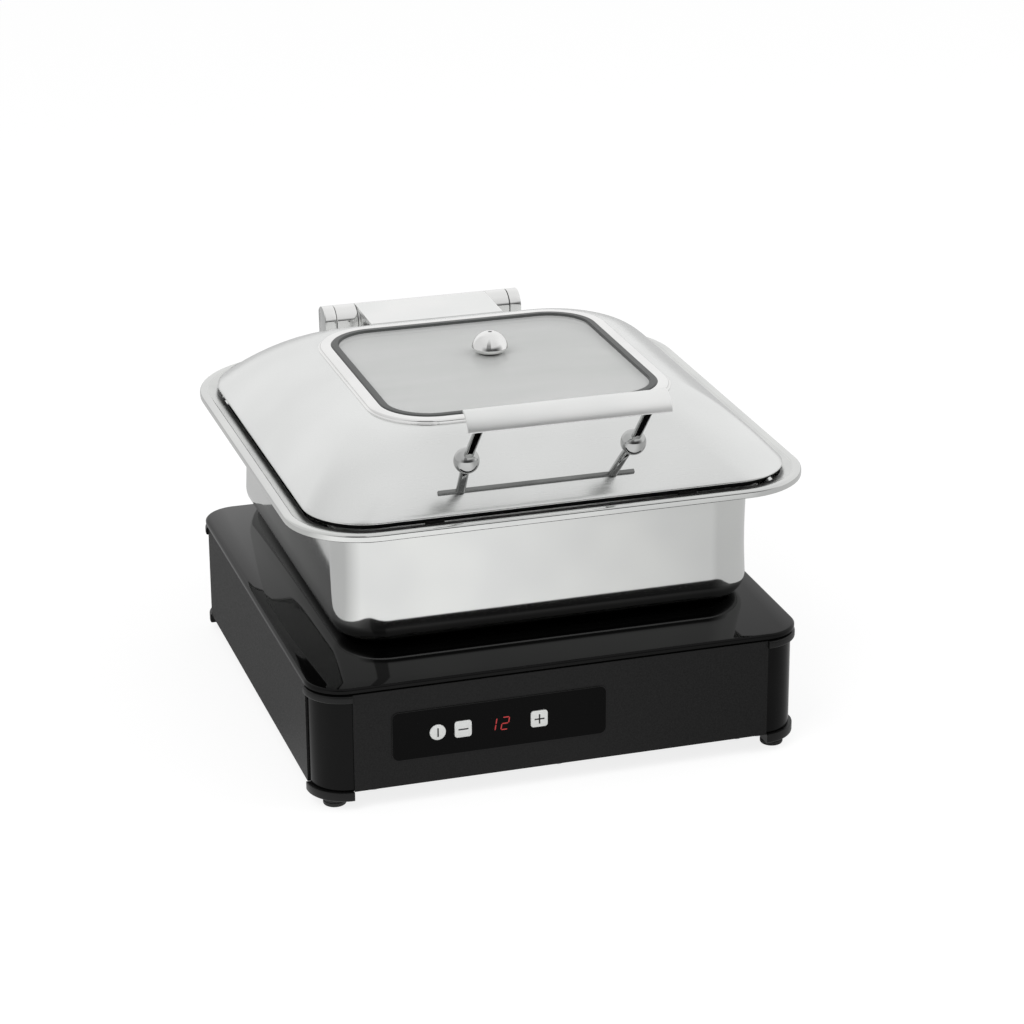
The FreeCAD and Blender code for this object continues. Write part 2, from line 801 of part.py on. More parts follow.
def food_pan_solid():
    """The lift-out food pan: a flat flange that rests on the dish's ledge, and a drawn tub."""
    c = dish_centre
    t = pan_wall
    z0 = ledge_z + pan_rest_gap
    half_x = pan_half_x
    half_y = pan_half_y
    flange = prism(half_x, half_y, pan_flange_corner, z0, z0 + t, c)
    hem = ring_prism(half_x, half_y, pan_flange_corner, t, z0, z0 + 2 * t, c)
    tub = drafted_tub(half_x - pan_flange_width, half_y - pan_flange_width, pan_corner, pan_draft,
                      pan_bottom_round, z0 + t - pan_depth, z0 + t / 2, c)
    space = drafted_tub(half_x - pan_flange_width - t, half_y - pan_flange_width - t, pan_corner - t,
                        pan_draft, pan_bottom_round - t, z0 + 2 * t - pan_depth, z0 + t + 1, c)
    return flange.fuse(hem).fuse(tub).cut(space).removeSplitter()


# ---------------------------------------------------------------- lid
def dome_sections(inward=0.0):
    """The dome's level outlines from its lip to its crown, moved inwards by a wall if one is given."""
    sections = []
    reach_x = lid_half_x - crown_half_x
    rear = lid_half_y - (window_offset_y + crown_half_y)
    front = lid_half_y + (window_offset_y - crown_half_y)
    for step in (0.0, 0.05, 0.12, 0.2, 0.3, 0.42, 0.56, 0.7, 0.85, 1.0):
        rise = 1 - (1 - step) ** dome_power
        slope = dome_power * (1 - step) ** (dome_power - 1) * dome_height / reach_x
        length = math.hypot(slope, 1.0)
        side_move = inward * slope / length
        drop = inward / length
        half_x = lid_half_x - reach_x * step - side_move
        y_front = -lid_half_y + front * step + side_move
        y_rear = lid_half_y - rear * step - side_move
        corner = lid_corner + (crown_corner - lid_corner) * step - side_move
        rear_corner = lid_rear_corner + (crown_corner - lid_rear_corner) * step - side_move
        centre = (dish_x, dish_y + (y_front + y_rear) / 2)
        z = dome_z + dome_height * rise - drop
        sections.append(plan_wire(half_x, (y_rear - y_front) / 2, corner, z, centre, rear_corner))
    return sections


def lid_outside():
    """The lid's full outer shape, from the lip's lower edge to the crown."""
    lip = prism(lid_half_x, lid_half_y, lid_corner, lid_z, dome_z, dish_centre, lid_rear_corner)
    return lip.fuse(Part.makeLoft(dome_sections(), True, False)).removeSplitter()


def arm_direction():
    """The way that the grip's arms stand out from the dome: forwards and up."""
    lean = math.radians(arm_lean)
    return V(0, -math.cos(lean), math.sin(lean))


def arm_foot_point():
    """The point on the dome's front slope where the arms stand, midway between them."""
    reach = lid_half_y + (window_offset_y - crown_half_y)
    step = arm_foot_inset / reach
    rise = 1 - (1 - step) ** dome_power
    return V(dish_x + grip_x, dish_y - lid_half_y + arm_foot_inset, dome_z + dome_height * rise)


def dome_tilt():
    """The dome's slope in degrees where the arms stand."""
    reach = lid_half_y + (window_offset_y - crown_half_y)
    step = arm_foot_inset / reach
    return math.degrees(math.atan(dome_power * (1 - step) ** (dome_power - 1) * dome_height / reach))


def lid_shell_solid():
    """The pressed lid: lip, dome and crown, open at the window and drilled for the grip's screws."""
    outside = lid_outside()
    inner_lip = prism(lid_half_x - lid_wall, lid_half_y - lid_wall, lid_corner - lid_wall, lid_z - 1,
                      dome_z + 0.2, dish_centre, lid_rear_corner - lid_wall)
    hollow = inner_lip.fuse(Part.makeLoft(dome_sections(lid_wall), True, False))
    hole = prism(window_half_x - window_seal_hold(), window_half_y - window_seal_hold(),
                 window_corner - window_seal_hold(), crown_z - 10, crown_z + 10, window_centre)
    shell = outside.cut(hollow).cut(hole)
    for sx in (-1, 1):
        foot = arm_foot_point() + V(sx * arm_foot_spread, 0, 0)
        shell = shell.cut(rod(grip_screw_radius + fit_gap, foot - arm_direction() * 8, arm_direction(), 16))
    return shell.removeSplitter()


def window_seal_hold():
    """How far the crown's edge reaches in under the window seal."""
    return window_seal_width / 3


def window_frame_solid():
    """The polished flange round the window, on the crown."""
    ring = prism(crown_half_x, crown_half_y, window_corner + frame_border, crown_z, frame_top_z, window_centre)
    ring = ring.makeFillet(frame_round, level_edges(ring, frame_top_z))
    return ring.cut(prism(window_half_x, window_half_y, window_corner, crown_z - 1, frame_top_z + 1,
                          window_centre))


def pane_half(extra=0.0):
    """Half sizes and corner of the glass pane, which reaches into the seal's groove."""
    cover = window_seal_width - glass_pane_grip
    return (window_half_x - cover + extra, window_half_y - cover + extra, window_corner - cover + extra)


def window_seal_solid():
    """The black rubber seal between the window's frame, the crown's edge and the pane."""
    top = frame_top_z + window_seal_proud
    upper = prism(window_half_x, window_half_y, window_corner, crown_z, top, window_centre)
    hold = window_seal_hold()
    lower = prism(window_half_x - hold, window_half_y - hold, window_corner - hold,
                  crown_z - window_seal_depth, crown_z, window_centre)
    opening = prism(window_half_x - window_seal_width, window_half_y - window_seal_width,
                    window_corner - window_seal_width, crown_z - window_seal_depth - 1, top + 1, window_centre)
    half_x, half_y, corner = pane_half()
    groove = prism(half_x, half_y, corner, pane_bottom_z, pane_top_z, window_centre)
    return upper.fuse(lower).cut(opening).cut(groove).removeSplitter()


def window_pane_solid():
    """The clear glass pane, drilled for the knob's stem."""
    half_x, half_y, corner = pane_half()
    pane = prism(half_x, half_y, corner, pane_bottom_z, pane_top_z, window_centre)
    return pane.cut(rod(knob_stem_radius + fit_gap, V(dish_x + knob_x, dish_y + knob_y, pane_bottom_z - 1), Z_AXIS,
                        glass_pane_thickness + 2))


def knob_washer_solid():
    """The soft washer between the pane and the knob."""
    return tube(washer_radius, knob_stem_radius, V(dish_x + knob_x, dish_y + knob_y, pane_top_z), Z_AXIS,
                knob_rise - fit_gap)


def knob_stem_solid():
    """The hollow threaded stem through the pane, which the knob turns on and vents through."""
    start = V(dish_x + knob_x, dish_y + knob_y, pane_bottom_z - nut_height - 2)
    length = pane_top_z + knob_rise + knob_height * 0.55 - start.z
    return tube(knob_stem_radius, vent_radius, start, Z_AXIS, length)


def knob_nut_solid():
    """The hexagon nut under the pane that clamps the stem."""
    x, y = dish_x + knob_x, dish_y + knob_y
    points = [V(x + nut_radius * math.cos(math.radians(60 * i)), y + nut_radius * math.sin(math.radians(60 * i)),
                pane_bottom_z - nut_height) for i in range(6)]
    nut = Part.Face(Part.makePolygon(points + points[:1])).extrude(V(0, 0, nut_height))
    return nut.cut(rod(knob_stem_radius, V(x, y, pane_bottom_z - nut_height - 1), Z_AXIS, nut_height + 2))


def knob_solid():
    """The polished round knob: a flared foot, a sharp widest line and a domed top with a vent hole."""
    z0 = pane_top_z + knob_rise
    z1 = z0 + knob_waist
    z2 = z0 + knob_height
    shoulder = knob_radius * 0.74
    foot_wire = [
        Part.LineSegment(V(0, 0, z0), V(knob_foot_radius, 0, z0)),
        Part.Arc(V(knob_foot_radius, 0, z0), V(knob_radius * 0.93, 0, z0 + knob_waist * 0.4),
                 V(knob_radius, 0, z1)),
        Part.Arc(V(knob_radius, 0, z1), V(shoulder, 0, z1 + (z2 - z1) * 0.7), V(0, 0, z2)),
        Part.LineSegment(V(0, 0, z2), V(0, 0, z0)),
    ]
    face = Part.Face(Part.Wire([edge.toShape() for edge in foot_wire]))
    knob = face.revolve(V(0, 0, 0), Z_AXIS, 360)
    knob.translate(V(dish_x + knob_x, dish_y + knob_y, 0))
    socket = rod(knob_bore_radius, V(dish_x + knob_x, dish_y + knob_y, z0 - 1), Z_AXIS, knob_height * 0.55 + 1.3)
    vent = rod(vent_radius, V(dish_x + knob_x, dish_y + knob_y, z0), Z_AXIS, knob_height + 1)
    return knob.cut(socket).cut(vent)


def bumpers_group():
    """Small rubber bumpers under the lid's edge, which rest on the dish's ledge."""
    blocks = []
    z0 = ledge_z + fit_gap
    z1 = lid_z
    half_t = bumper_width / 2
    half_l = bumper_length / 2
    mid_x = lid_half_x - lid_wall / 2 - 0.8
    mid_y = lid_half_y - lid_wall / 2 - 0.8
    for sx in (-1, 1):
        for sy in (-1, 1):
            x = dish_x + sx * bumper_x
            y = dish_y + sy * mid_y
            blocks.append(block(x - half_l, x + half_l, y - half_t, y + half_t, z0, z1))
            x = dish_x + sx * mid_x
            y = dish_y + sy * bumper_y
            blocks.append(block(x - half_t, x + half_t, y - half_l, y + half_l, z0, z1))
    return Part.makeCompound(blocks)


# ---------------------------------------------------------------- grip
def arm_line(side):
    """The foot, the ball's middle and the top of an arm."""
    foot = arm_foot_point() + V(side * arm_foot_spread, 0, 0)
    along = arm_direction()
    ball = arm_foot_point() + V(side * arm_ball_spread, 0, 0) + along * arm_ball_reach
    top = arm_foot_point() + V(side * arm_ball_spread, 0, 0) + along * arm_top_reach
    return foot, ball, top


def flat_bar(start, end):
    """A bar with rounded long edges from one point to another, its width along X."""
    length = (end - start).Length
    bar = prism(arm_width / 2, arm_depth / 2, arm_round, 0, length)
    bar.Placement = FreeCAD.Placement(start, FreeCAD.Rotation(Z_AXIS, end - start))
    return bar


def arm_solid(side):
    """One arm of the grip: a bar from the dome to the ball, and on to the underside of the grip."""
    foot, ball, top = arm_line(side)
    start = foot + arm_direction() * bar_thickness
    lower = flat_bar(start, ball)
    upper = flat_bar(ball, top)
    arm = lower.fuse(upper).fuse(Part.makeSphere(arm_width / 2, ball)).removeSplitter()
    return arm.cut(rod(grip_screw_radius, foot - arm_direction() * 5, arm_direction(), grip_screw_length + 5))


def ball_solid(side):
    """The polished ball on an arm."""
    foot, ball, top = arm_line(side)
    return Part.makeSphere(ball_radius, ball).cut(arm_solid(side))


def mounting_bar_solid():
    """The slim polished bar on the dome that both arms stand on."""
    foot = arm_foot_point()
    bar = block(-grip_length / 2, grip_length / 2, -bar_width / 2, bar_width / 2, -2.0, bar_thickness)
    bar.rotate(V(0, 0, 0), X_AXIS, 90 - arm_lean)
    bar.translate(foot)
    bar = bar.cut(lid_outside())
    for side in (-1, 1):
        hole_start = foot + V(side * arm_foot_spread, 0, 0) - arm_direction() * 5
        bar = bar.cut(rod(grip_screw_radius, hole_start, arm_direction(), 12)).cut(arm_solid(side))
    return max(bar.Solids, key=lambda solid: solid.Volume)


def grip_solid():
    """The satin grip: a strip bent to an arc, with its hollow side towards the arms."""
    top = arm_foot_point() + arm_direction() * arm_top_reach
    middle = top - arm_direction() * (grip_radius - grip_thickness)
    half = math.radians(grip_half_angle)
    lean = math.pi - math.radians(arm_lean)

    def spot(radius, angle):
        return V(0, radius * math.cos(lean + angle), radius * math.sin(lean + angle))

    outer = Part.Arc(spot(grip_radius, -half), spot(grip_radius, 0), spot(grip_radius, half))
    inner_radius = grip_radius - grip_thickness
    inner = Part.Arc(spot(inner_radius, half), spot(inner_radius, 0), spot(inner_radius, -half))
    edges = [outer, Part.LineSegment(outer.EndPoint, inner.StartPoint), inner,
             Part.LineSegment(inner.EndPoint, outer.StartPoint)]
    face = Part.Face(Part.Wire([edge.toShape() for edge in edges]))
    strip = face.extrude(V(grip_length, 0, 0))
    strip.translate(middle - V(grip_length / 2, 0, 0))
    arms = [arm_solid(side) for side in (-1, 1)]
    return strip.cut(arms[0]).cut(arms[1])


def grip_screws_group():
    """The screws inside the lid that hold the arms, on the dome's inner face."""
    screws = []
    for side in (-1, 1):
        foot = arm_foot_point() + V(side * arm_foot_spread, 0, 0)
        along = arm_direction()
        head_top = foot - along * (lid_wall + 1.2)
        shank = rod(grip_screw_radius, head_top, along, grip_screw_length)
        head = rod(grip_screw_head_radius, head_top - along * grip_screw_head_height, along,
                   grip_screw_head_height)
        screws.append(head.fuse(shank).removeSplitter())
    return Part.makeCompound(screws)


# ---------------------------------------------------------------- hinge
hinge_x = dish_x + hinge_offset
hinge_y = dish_y + rim_half_y - barrel_setback
knuckle_start = lid_knuckle_half + barrel_gap
knuckle_end = knuckle_start + dish_knuckle_length
cap_start = knuckle_end + barrel_gap
cap_end = cap_start + end_cap_length
stand_rear_y = dish_y + rim_half_y - stand_inset


def barrel(radius, x0, x1):
    """A length of the hinge barrel between two places across the dish."""
    return rod(radius, V(hinge_x + x0, hinge_y, barrel_z), X_AXIS, x1 - x0)


def hinge_plate_outline():
    """The cover plate's front edge, where it comes down onto the dome."""
    return hinge_y - plate_run, barrel_z + barrel_radius - plate_drop


def lid_knuckle_solid():
    """The middle length of the hinge barrel, which turns with the lid."""
    return barrel(barrel_radius, -lid_knuckle_half, lid_knuckle_half).cut(
        barrel(pin_radius + pin_gap, -lid_knuckle_half, lid_knuckle_half))


def hinge_plate_solid():
    """The brushed cover plate from the barrel to the dome, with two cheeks down to the dome."""
    front_y, front_z = hinge_plate_outline()
    rear_z = barrel_z + barrel_radius
    half = lid_knuckle_half
    top = polygon_x([(hinge_y, rear_z), (front_y, front_z), (front_y, front_z - plate_thickness),
                     (hinge_y, rear_z - plate_thickness)], hinge_x - half, hinge_x + half)
    plate = top
    for side in (-1, 1):
        xs = sorted((side * cheek_spread, side * (cheek_spread + cheek_thickness)))
        plate = plate.fuse(polygon_x([(hinge_y, rear_z - 1), (front_y + 1, front_z - 1), (front_y + 1, lid_z + 10),
                                      (hinge_y - barrel_radius, lid_z + 14), (hinge_y, barrel_z)],
                                     hinge_x + xs[0], hinge_x + xs[1]))
    knuckle = barrel(barrel_radius, -lid_knuckle_half - 1, lid_knuckle_half + 1)
    plate = plate.cut(lid_outside()).cut(knuckle)
    return Part.makeCompound([solid for solid in plate.removeSplitter().Solids if solid.Volume > 200])


def dish_knuckle_solid(side):
    """A polished length of the barrel that stays with the dish."""
    x0, x1 = sorted((side * knuckle_start, side * knuckle_end))
    piece = barrel(barrel_radius, x0, x1).cut(barrel(pin_radius + pin_gap, x0, x1))
    inner = sorted((side * (knuckle_end - brake_length), side * (knuckle_end + 1)))
    return piece.cut(barrel(brake_radius, inner[0], inner[1]))


def brakes_group():
    """The friction rings inside the dish's knuckles, which hold the lid at any angle."""
    rings = []
    for side in (-1, 1):
        x0, x1 = sorted((side * (knuckle_end - brake_length), side * knuckle_end))
        rings.append(barrel(brake_radius, x0, x1).cut(barrel(pin_radius + pin_gap, x0, x1)))
    return Part.makeCompound(rings)


def end_caps_group():
    """The end cheeks that close the barrel: round over the pin, straight down to the foot at the rear."""
    caps = []
    foot_z = flange_z + stand_foot_height
    for side in (-1, 1):
        x0, x1 = sorted((side * cap_start, side * cap_end))
        cheek = barrel(barrel_radius, x0, x1)
        cheek = cheek.fuse(block(hinge_x + x0, hinge_x + x1, hinge_y, stand_rear_y, foot_z, barrel_z))
        caps.append(cheek.removeSplitter().cut(hinge_pin_solid()))
    return Part.makeCompound(caps)


def hinge_pin_solid():
    """The steel pin through the whole barrel, into both end caps."""
    reach = cap_end - pin_cover
    return barrel(pin_radius, -reach, reach)


def hinge_stand_solid():
    """The bracket on the dish's rear rim: a foot strip and an upright under each knuckle."""
    foot_y0 = stand_rear_y - stand_foot_depth
    stand = block(hinge_x - cap_end, hinge_x + cap_end, foot_y0, stand_rear_y, flange_z,
                  flange_z + stand_foot_height)
    for side in (-1, 1):
        x0, x1 = sorted((side * knuckle_start, side * knuckle_end))
        stand = stand.fuse(block(hinge_x + x0, hinge_x + x1, stand_rear_y - stand_thickness, stand_rear_y,
                                 flange_z, barrel_z))
    knuckles = barrel(barrel_radius, -cap_end, cap_end)
    return stand.cut(knuckles).removeSplitter()


# ---------------------------------------------------------------- write every piece
save("front_panel", front_panel_solid())
save("rear_panel", rear_panel_solid())
save("side_panel_left", side_panel_solid(-1))
save("side_panel_right", side_panel_solid(1))
for corner_name, (side_x, side_y) in zip(("front_left", "front_right", "rear_right", "rear_left"), corners):
    save("corner_post_" + corner_name, post_solid(side_x, side_y))
save("post_caps", Part.makeCompound([cap_solid(sx, sy) for sx, sy in corners]))
save("post_shoes", Part.makeCompound([shoe_solid(sx, sy) for sx, sy in corners]))
save("rubber_feet", Part.makeCompound([foot_solid(sx, sy) for sx, sy in corners]))
save("floor_plate", floor_plate_solid())
save("floor_screws", floor_screws_group())
save("glass_top", glass_solid())
save("glass_seal", glass_seal_solid())
save("cable_gland", gland_solid())
save("control_label", foil_solid())
save("power_key", round_key_solid())
save("minus_key", square_key_solid(minus_key_x))
save("plus_key", square_key_solid(plus_key_x))
save("control_board", control_board_solid())
save("key_switches", switches_group())
save("display_block", display_solid())
save("induction_coil", coil_solid())
save("coil_carrier", carrier_solid())
save("ferrite_bars", ferrites_group())
save("glass_sensor", sensor_solid())
save("fan_housing", fan_housing_solid())
save("fan_rotor", fan_rotor_solid())
save("power_board", power_board_solid())
save("board_standoffs", standoffs_group())
save("heat_sink", heat_sink_solid())
save("capacitors", capacitors_group())
save("filter_choke", choke_solid())
save("mains_filter", mains_filter_solid())
save("water_pan", dish_solid())
save("food_pan", food_pan_solid())
save("lid_shell", lid_shell_solid())
save("window_frame", window_frame_solid())
save("window_seal", window_seal_solid())
save("window_pane", window_pane_solid())
save("vent_knob", knob_solid())
save("knob_washer", knob_washer_solid())
save("knob_stem", knob_stem_solid())
save("knob_nut", knob_nut_solid())
save("lid_bumpers", bumpers_group())
save("grip_arm_left", arm_solid(-1))
save("grip_arm_right", arm_solid(1))
save("grip_balls", Part.makeCompound([ball_solid(-1), ball_solid(1)]))
save("grip_bar", mounting_bar_solid())
save("grip_strip", grip_solid())
save("grip_screws", grip_screws_group())
save("lid_knuckle", lid_knuckle_solid())
save("hinge_plate", hinge_plate_solid())
save("dish_knuckle_left", dish_knuckle_solid(-1))
save("dish_knuckle_right", dish_knuckle_solid(1))
save("hinge_brakes", brakes_group())
save("hinge_caps", end_caps_group())
save("hinge_pin", hinge_pin_solid())
save("hinge_stand", hinge_stand_solid())
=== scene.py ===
# %% [markdown]
# # Dressing an induction food warmer around its CAD frame
# The real object is a low black induction base with a glass-ceramic top, and on it a drawn steel
# chafing dish with a hinged, domed lid. The CAD frame already holds every piece at its real size, so
# this lesson only remakes the pieces whose look depends on smooth curves, small edges and polish,
# and gives every other piece a finish. The frame is loaded first because every new piece rides on it.

# %% Load the frame
import json
import math

import bmesh
import bpy
from mathutils import Matrix, Vector


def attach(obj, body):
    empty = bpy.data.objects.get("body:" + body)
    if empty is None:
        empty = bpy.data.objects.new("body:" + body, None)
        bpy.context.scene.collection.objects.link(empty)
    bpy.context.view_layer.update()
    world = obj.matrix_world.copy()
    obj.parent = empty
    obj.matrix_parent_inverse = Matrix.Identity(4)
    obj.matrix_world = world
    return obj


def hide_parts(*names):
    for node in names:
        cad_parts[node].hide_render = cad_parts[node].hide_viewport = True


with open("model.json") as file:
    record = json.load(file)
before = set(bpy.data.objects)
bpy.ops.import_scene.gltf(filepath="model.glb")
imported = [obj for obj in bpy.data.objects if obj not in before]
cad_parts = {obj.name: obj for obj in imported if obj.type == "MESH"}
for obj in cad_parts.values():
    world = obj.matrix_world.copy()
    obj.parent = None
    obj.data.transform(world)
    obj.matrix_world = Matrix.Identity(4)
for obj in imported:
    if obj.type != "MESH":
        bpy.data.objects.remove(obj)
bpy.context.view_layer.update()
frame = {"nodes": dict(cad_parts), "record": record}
MM = 0.001
print("pieces in the frame:", len(frame["nodes"]))

# %% [markdown]
# ## Colours and nodes
# A maker picks colours from a chart, and a chart is written in sRGB hex. Shaders work in linear
# light, so one function turns the one into the other. Every finish below is a small node tree, and
# one helper adds a node together with its settings and the sockets that feed it.

# %% Colour and node helpers
def colour(text):
    """A colour from an sRGB hex chart, in linear light."""
    parts = [int(text[i:i + 2], 16) / 255 for i in (1, 3, 5)]
    linear = [p / 12.92 if p <= 0.04045 else ((p + 0.055) / 1.055) ** 2.4 for p in parts]
    return (*linear, 1.0)


def add_node(tree, kind, inputs=None, **settings):
    """One node: its own settings, and for each input a value or the socket that feeds it."""
    node = tree.nodes.new(kind)
    for name, value in settings.items():
        setattr(node, name, value)
    for name, value in (inputs or {}).items():
        if isinstance(value, bpy.types.NodeSocket):
            tree.links.new(value, node.inputs[name])
        else:
            node.inputs[name].default_value = value
    return node


def new_finish(name, **sockets):
    """A material with one Principled shader; sockets that stay constant are set straight on it."""
    material = bpy.data.materials.new(name)
    material.use_nodes = True
    tree = material.node_tree
    tree.nodes.clear()
    shader = add_node(tree, "ShaderNodeBsdfPrincipled", sockets)
    add_node(tree, "ShaderNodeOutputMaterial", {"Surface": shader.outputs["BSDF"]})
    return material, tree, shader


def pattern(tree, size_mm, detail=2.0, stretch=(1.0, 1.0, 1.0)):
    """A noise whose patches are about size_mm across, longer along an axis whose stretch is above 1."""
    place = add_node(tree, "ShaderNodeTexCoord")
    scale = tuple(1.0 / s for s in stretch)
    mapped = add_node(tree, "ShaderNodeMapping", {"Vector": place.outputs["Object"], "Scale": scale})
    return add_node(tree, "ShaderNodeTexNoise", {"Vector": mapped.outputs["Vector"],
                                                 "Scale": 1.0 / (size_mm * MM), "Detail": detail})


def spread(tree, noise, low, high):
    """The noise turned into a number between low and high."""
    return add_node(tree, "ShaderNodeMapRange", {"Value": noise.outputs["Fac"], "From Min": 0.3,
                                                 "From Max": 0.7, "To Min": low, "To Max": high})


def blend_colours(tree, noise, low, high):
    """The noise turned into a colour between two hex colours."""
    ramp = add_node(tree, "ShaderNodeValToRGB", {"Fac": noise.outputs["Fac"]})
    ramp.color_ramp.elements[0].position = 0.3
    ramp.color_ramp.elements[0].color = colour(low)
    ramp.color_ramp.elements[1].position = 0.7
    ramp.color_ramp.elements[1].color = colour(high)
    return ramp


def relief(tree, noise, depth_mm):
    """A bump as deep as the real surface's roughness."""
    return add_node(tree, "ShaderNodeBump", {"Height": noise.outputs["Fac"], "Distance": depth_mm * MM,
                                             "Strength": 1.0})


def link(tree, output, shader, socket):
    """Feed a shader socket from a node's output."""
    tree.links.new(output, shader.inputs[socket])


finishes = {}
print("helpers ready")

# %% [markdown]
# ## Stainless steel, polished and satin
# The dish, the lid and the hinge are AISI 304 sheet. Steel has no colour of its own beyond a light
# grey, and what the eye reads is its polish: the lid is buffed nearly to a mirror, the dish's sides
# keep a faint drawing grain, and the grip and the hinge plate are brushed. So each finish is the same
# metal with its own roughness and its own fine relief, and a slow waviness stands for sheet that
# was pressed, which never reflects a straight line quite straight.

# %% Steel finishes
def steel(name, tone, rough, wave_mm, wave_depth, grain=(0.5, (1, 1, 1)), grain_depth=0.0):
    """Sheet steel: a light grey metal, a slow waviness and a fine grain along one axis."""
    material, tree, shader = new_finish(name, Metallic=1.0)
    wave = pattern(tree, wave_mm, 1.0)
    fine = pattern(tree, grain[0], 3.0, grain[1])
    link(tree, blend_colours(tree, wave, tone[0], tone[1]).outputs["Color"], shader, "Base Color")
    link(tree, spread(tree, fine, rough[0], rough[1]).outputs["Result"], shader, "Roughness")
    slow = relief(tree, wave, wave_depth)
    surface = relief(tree, fine, grain_depth)
    tree.links.new(slow.outputs["Normal"], surface.inputs["Normal"])
    link(tree, surface.outputs["Normal"], shader, "Normal")
    return material


# Pressed and buffed lid sheet: soft reflections, with grit lines 0.5 mm wide along the front edge.
finishes["steel_polished"] = steel("buffed_stainless_sheet", ("#E2E3E2", "#E9EAE9"), (0.2, 0.28), 70, 0.06,
                                   (0.5, (40, 1, 1)), 0.0006)
# The lid's turned-in hem is painted dark: painted shade for the dark gap under the lid's edge.
finishes["hem_painted_shade"] = steel("hem_painted_shade_steel", ("#242424", "#2E2E2E"), (0.4, 0.55), 8, 0.01)
# Drawn dish: sharper than the lid, with a faint upright drawing grain.
finishes["dish_steel"] = steel("drawn_bright_stainless", ("#D4D5D4", "#DCDDDB"), (0.05, 0.09), 60, 0.05,
                               (0.5, (1, 1, 40)), 0.0005)
# The dish's throat under the lid's edge, left satin because the lid hides it.
finishes["throat_satin"] = steel("satin_throat_stainless", ("#D4D5D4", "#DCDDDB"), (0.28, 0.34), 30, 0.02)
# Brushed cover plate and grip: long scratches along the width of the dish.
finishes["steel_satin"] = steel("brushed_stainless", ("#F0F1F0", "#F6F6F5"), (0.32, 0.42), 50, 0.02,
                                (0.35, (60, 1, 1)), 0.0016)
# Mirror-polished pieces: the knob, the window's flange, the barrel and the edges of its cheeks.
finishes["steel_mirror"] = steel("mirror_polished_stainless", ("#ECECEB", "#F2F2F1"), (0.045, 0.08), 30,
                                 0.004)
# Chromed arms and balls of the grip: a shade darker than the sheet, and sharper.
finishes["chrome"] = steel("bright_chrome_plate", ("#B4B5B4", "#BEBFBE"), (0.03, 0.05), 12, 0.002)
# Sawn and ground end faces of the hinge's cheeks.
finishes["steel_face"] = steel("ground_end_face", ("#C6C7C6", "#CFD0CF"), (0.12, 0.2), 12, 0.004)
# Ground bar stock for the grip's mounting bar, unpolished; its dark tone is painted shade, where it lies
# under the grip against the dome.
finishes["steel_ground_painted_shade"] = steel("ground_stainless_painted_shade", ("#747574", "#848584"), (0.18, 0.28), 20, 0.01,
                                 (0.3, (60, 1, 1)), 0.001)
# Zinc-plated screws and nuts, and the hinge pin.
finishes["screw_steel"] = steel("zinc_plated_steel", ("#A9ABAB", "#BFC0C0"), (0.25, 0.4), 4, 0.01)
# Extruded fins, with streaks along the die.
finishes["sink_aluminium"] = steel("extruded_aluminium", ("#B9BBBD", "#C8CACB"), (0.3, 0.45), 20, 0.01,
                                   (0.6, (1, 40, 1)), 0.003)
print("steel finishes:", len(finishes))

# %% [markdown]
# ## Black finishes
# The base is three blacks that only differ in gloss. The sheet panels are powder coated, which dries
# to a fine pebbled texture. The corner posts are glossy ABS. The collars and shoes are the same
# plastic from a textured mould, and the feet and seals are rubber. The top is glass-ceramic, dyed
# through and polished, so it mirrors what stands on it at low angles.

# %% Black finishes
def plastic(name, dark, light, rough, grain_mm, depth, **sockets):
    """A moulded or coated surface: two close tones, an uneven gloss and a fine texture."""
    material, tree, shader = new_finish(name, **sockets)
    grain = pattern(tree, grain_mm, 3.0)
    link(tree, blend_colours(tree, grain, dark, light).outputs["Color"], shader, "Base Color")
    link(tree, spread(tree, grain, rough[0], rough[1]).outputs["Result"], shader, "Roughness")
    link(tree, relief(tree, grain, depth).outputs["Normal"], shader, "Normal")
    return material


finishes["panel_black"] = plastic("powder_coat_black", "#0D0D0D", "#202020", (0.45, 0.6), 1.1, 0.06,
                                  **{"Specular IOR Level": 0.18})
finishes["post_black"] = plastic("gloss_abs_black", "#040404", "#070707", (0.07, 0.11), 25, 0.02,
                                 **{"Specular IOR Level": 0.12})
finishes["trim_black"] = plastic("textured_abs_black", "#0A0A0A", "#111111", (0.3, 0.42), 0.5, 0.012,
                                 **{"Specular IOR Level": 0.25})
finishes["rubber_black"] = plastic("epdm_rubber_black", "#141414", "#1C1C1C", (0.55, 0.7), 0.8, 0.02)
finishes["label_black"] = plastic("polyester_film_black", "#030303", "#060606", (0.2, 0.26), 1.2, 0.002,
                                  **{"Specular IOR Level": 0.06})
finishes["top_glass"] = plastic("glass_ceramic_black", "#010101", "#020202", (0.015, 0.03), 60, 0.0,
                                **{"Specular IOR Level": 0.14})
finishes["seal_grey"] = plastic("silicone_seal_dark_grey", "#3C3E3D", "#474948", (0.35, 0.45), 1.5, 0.01)
print("finishes so far:", len(finishes))

# %% [markdown]
# ## Keys, print, light and the parts inside
# The keys are light grey moulded caps with a printed mark. The digits glow red behind the film, so
# they get emission and no gloss. Inside the base the parts keep the colours they are made in:
# enamelled copper, sintered ferrite, green laminate and dark nylon.

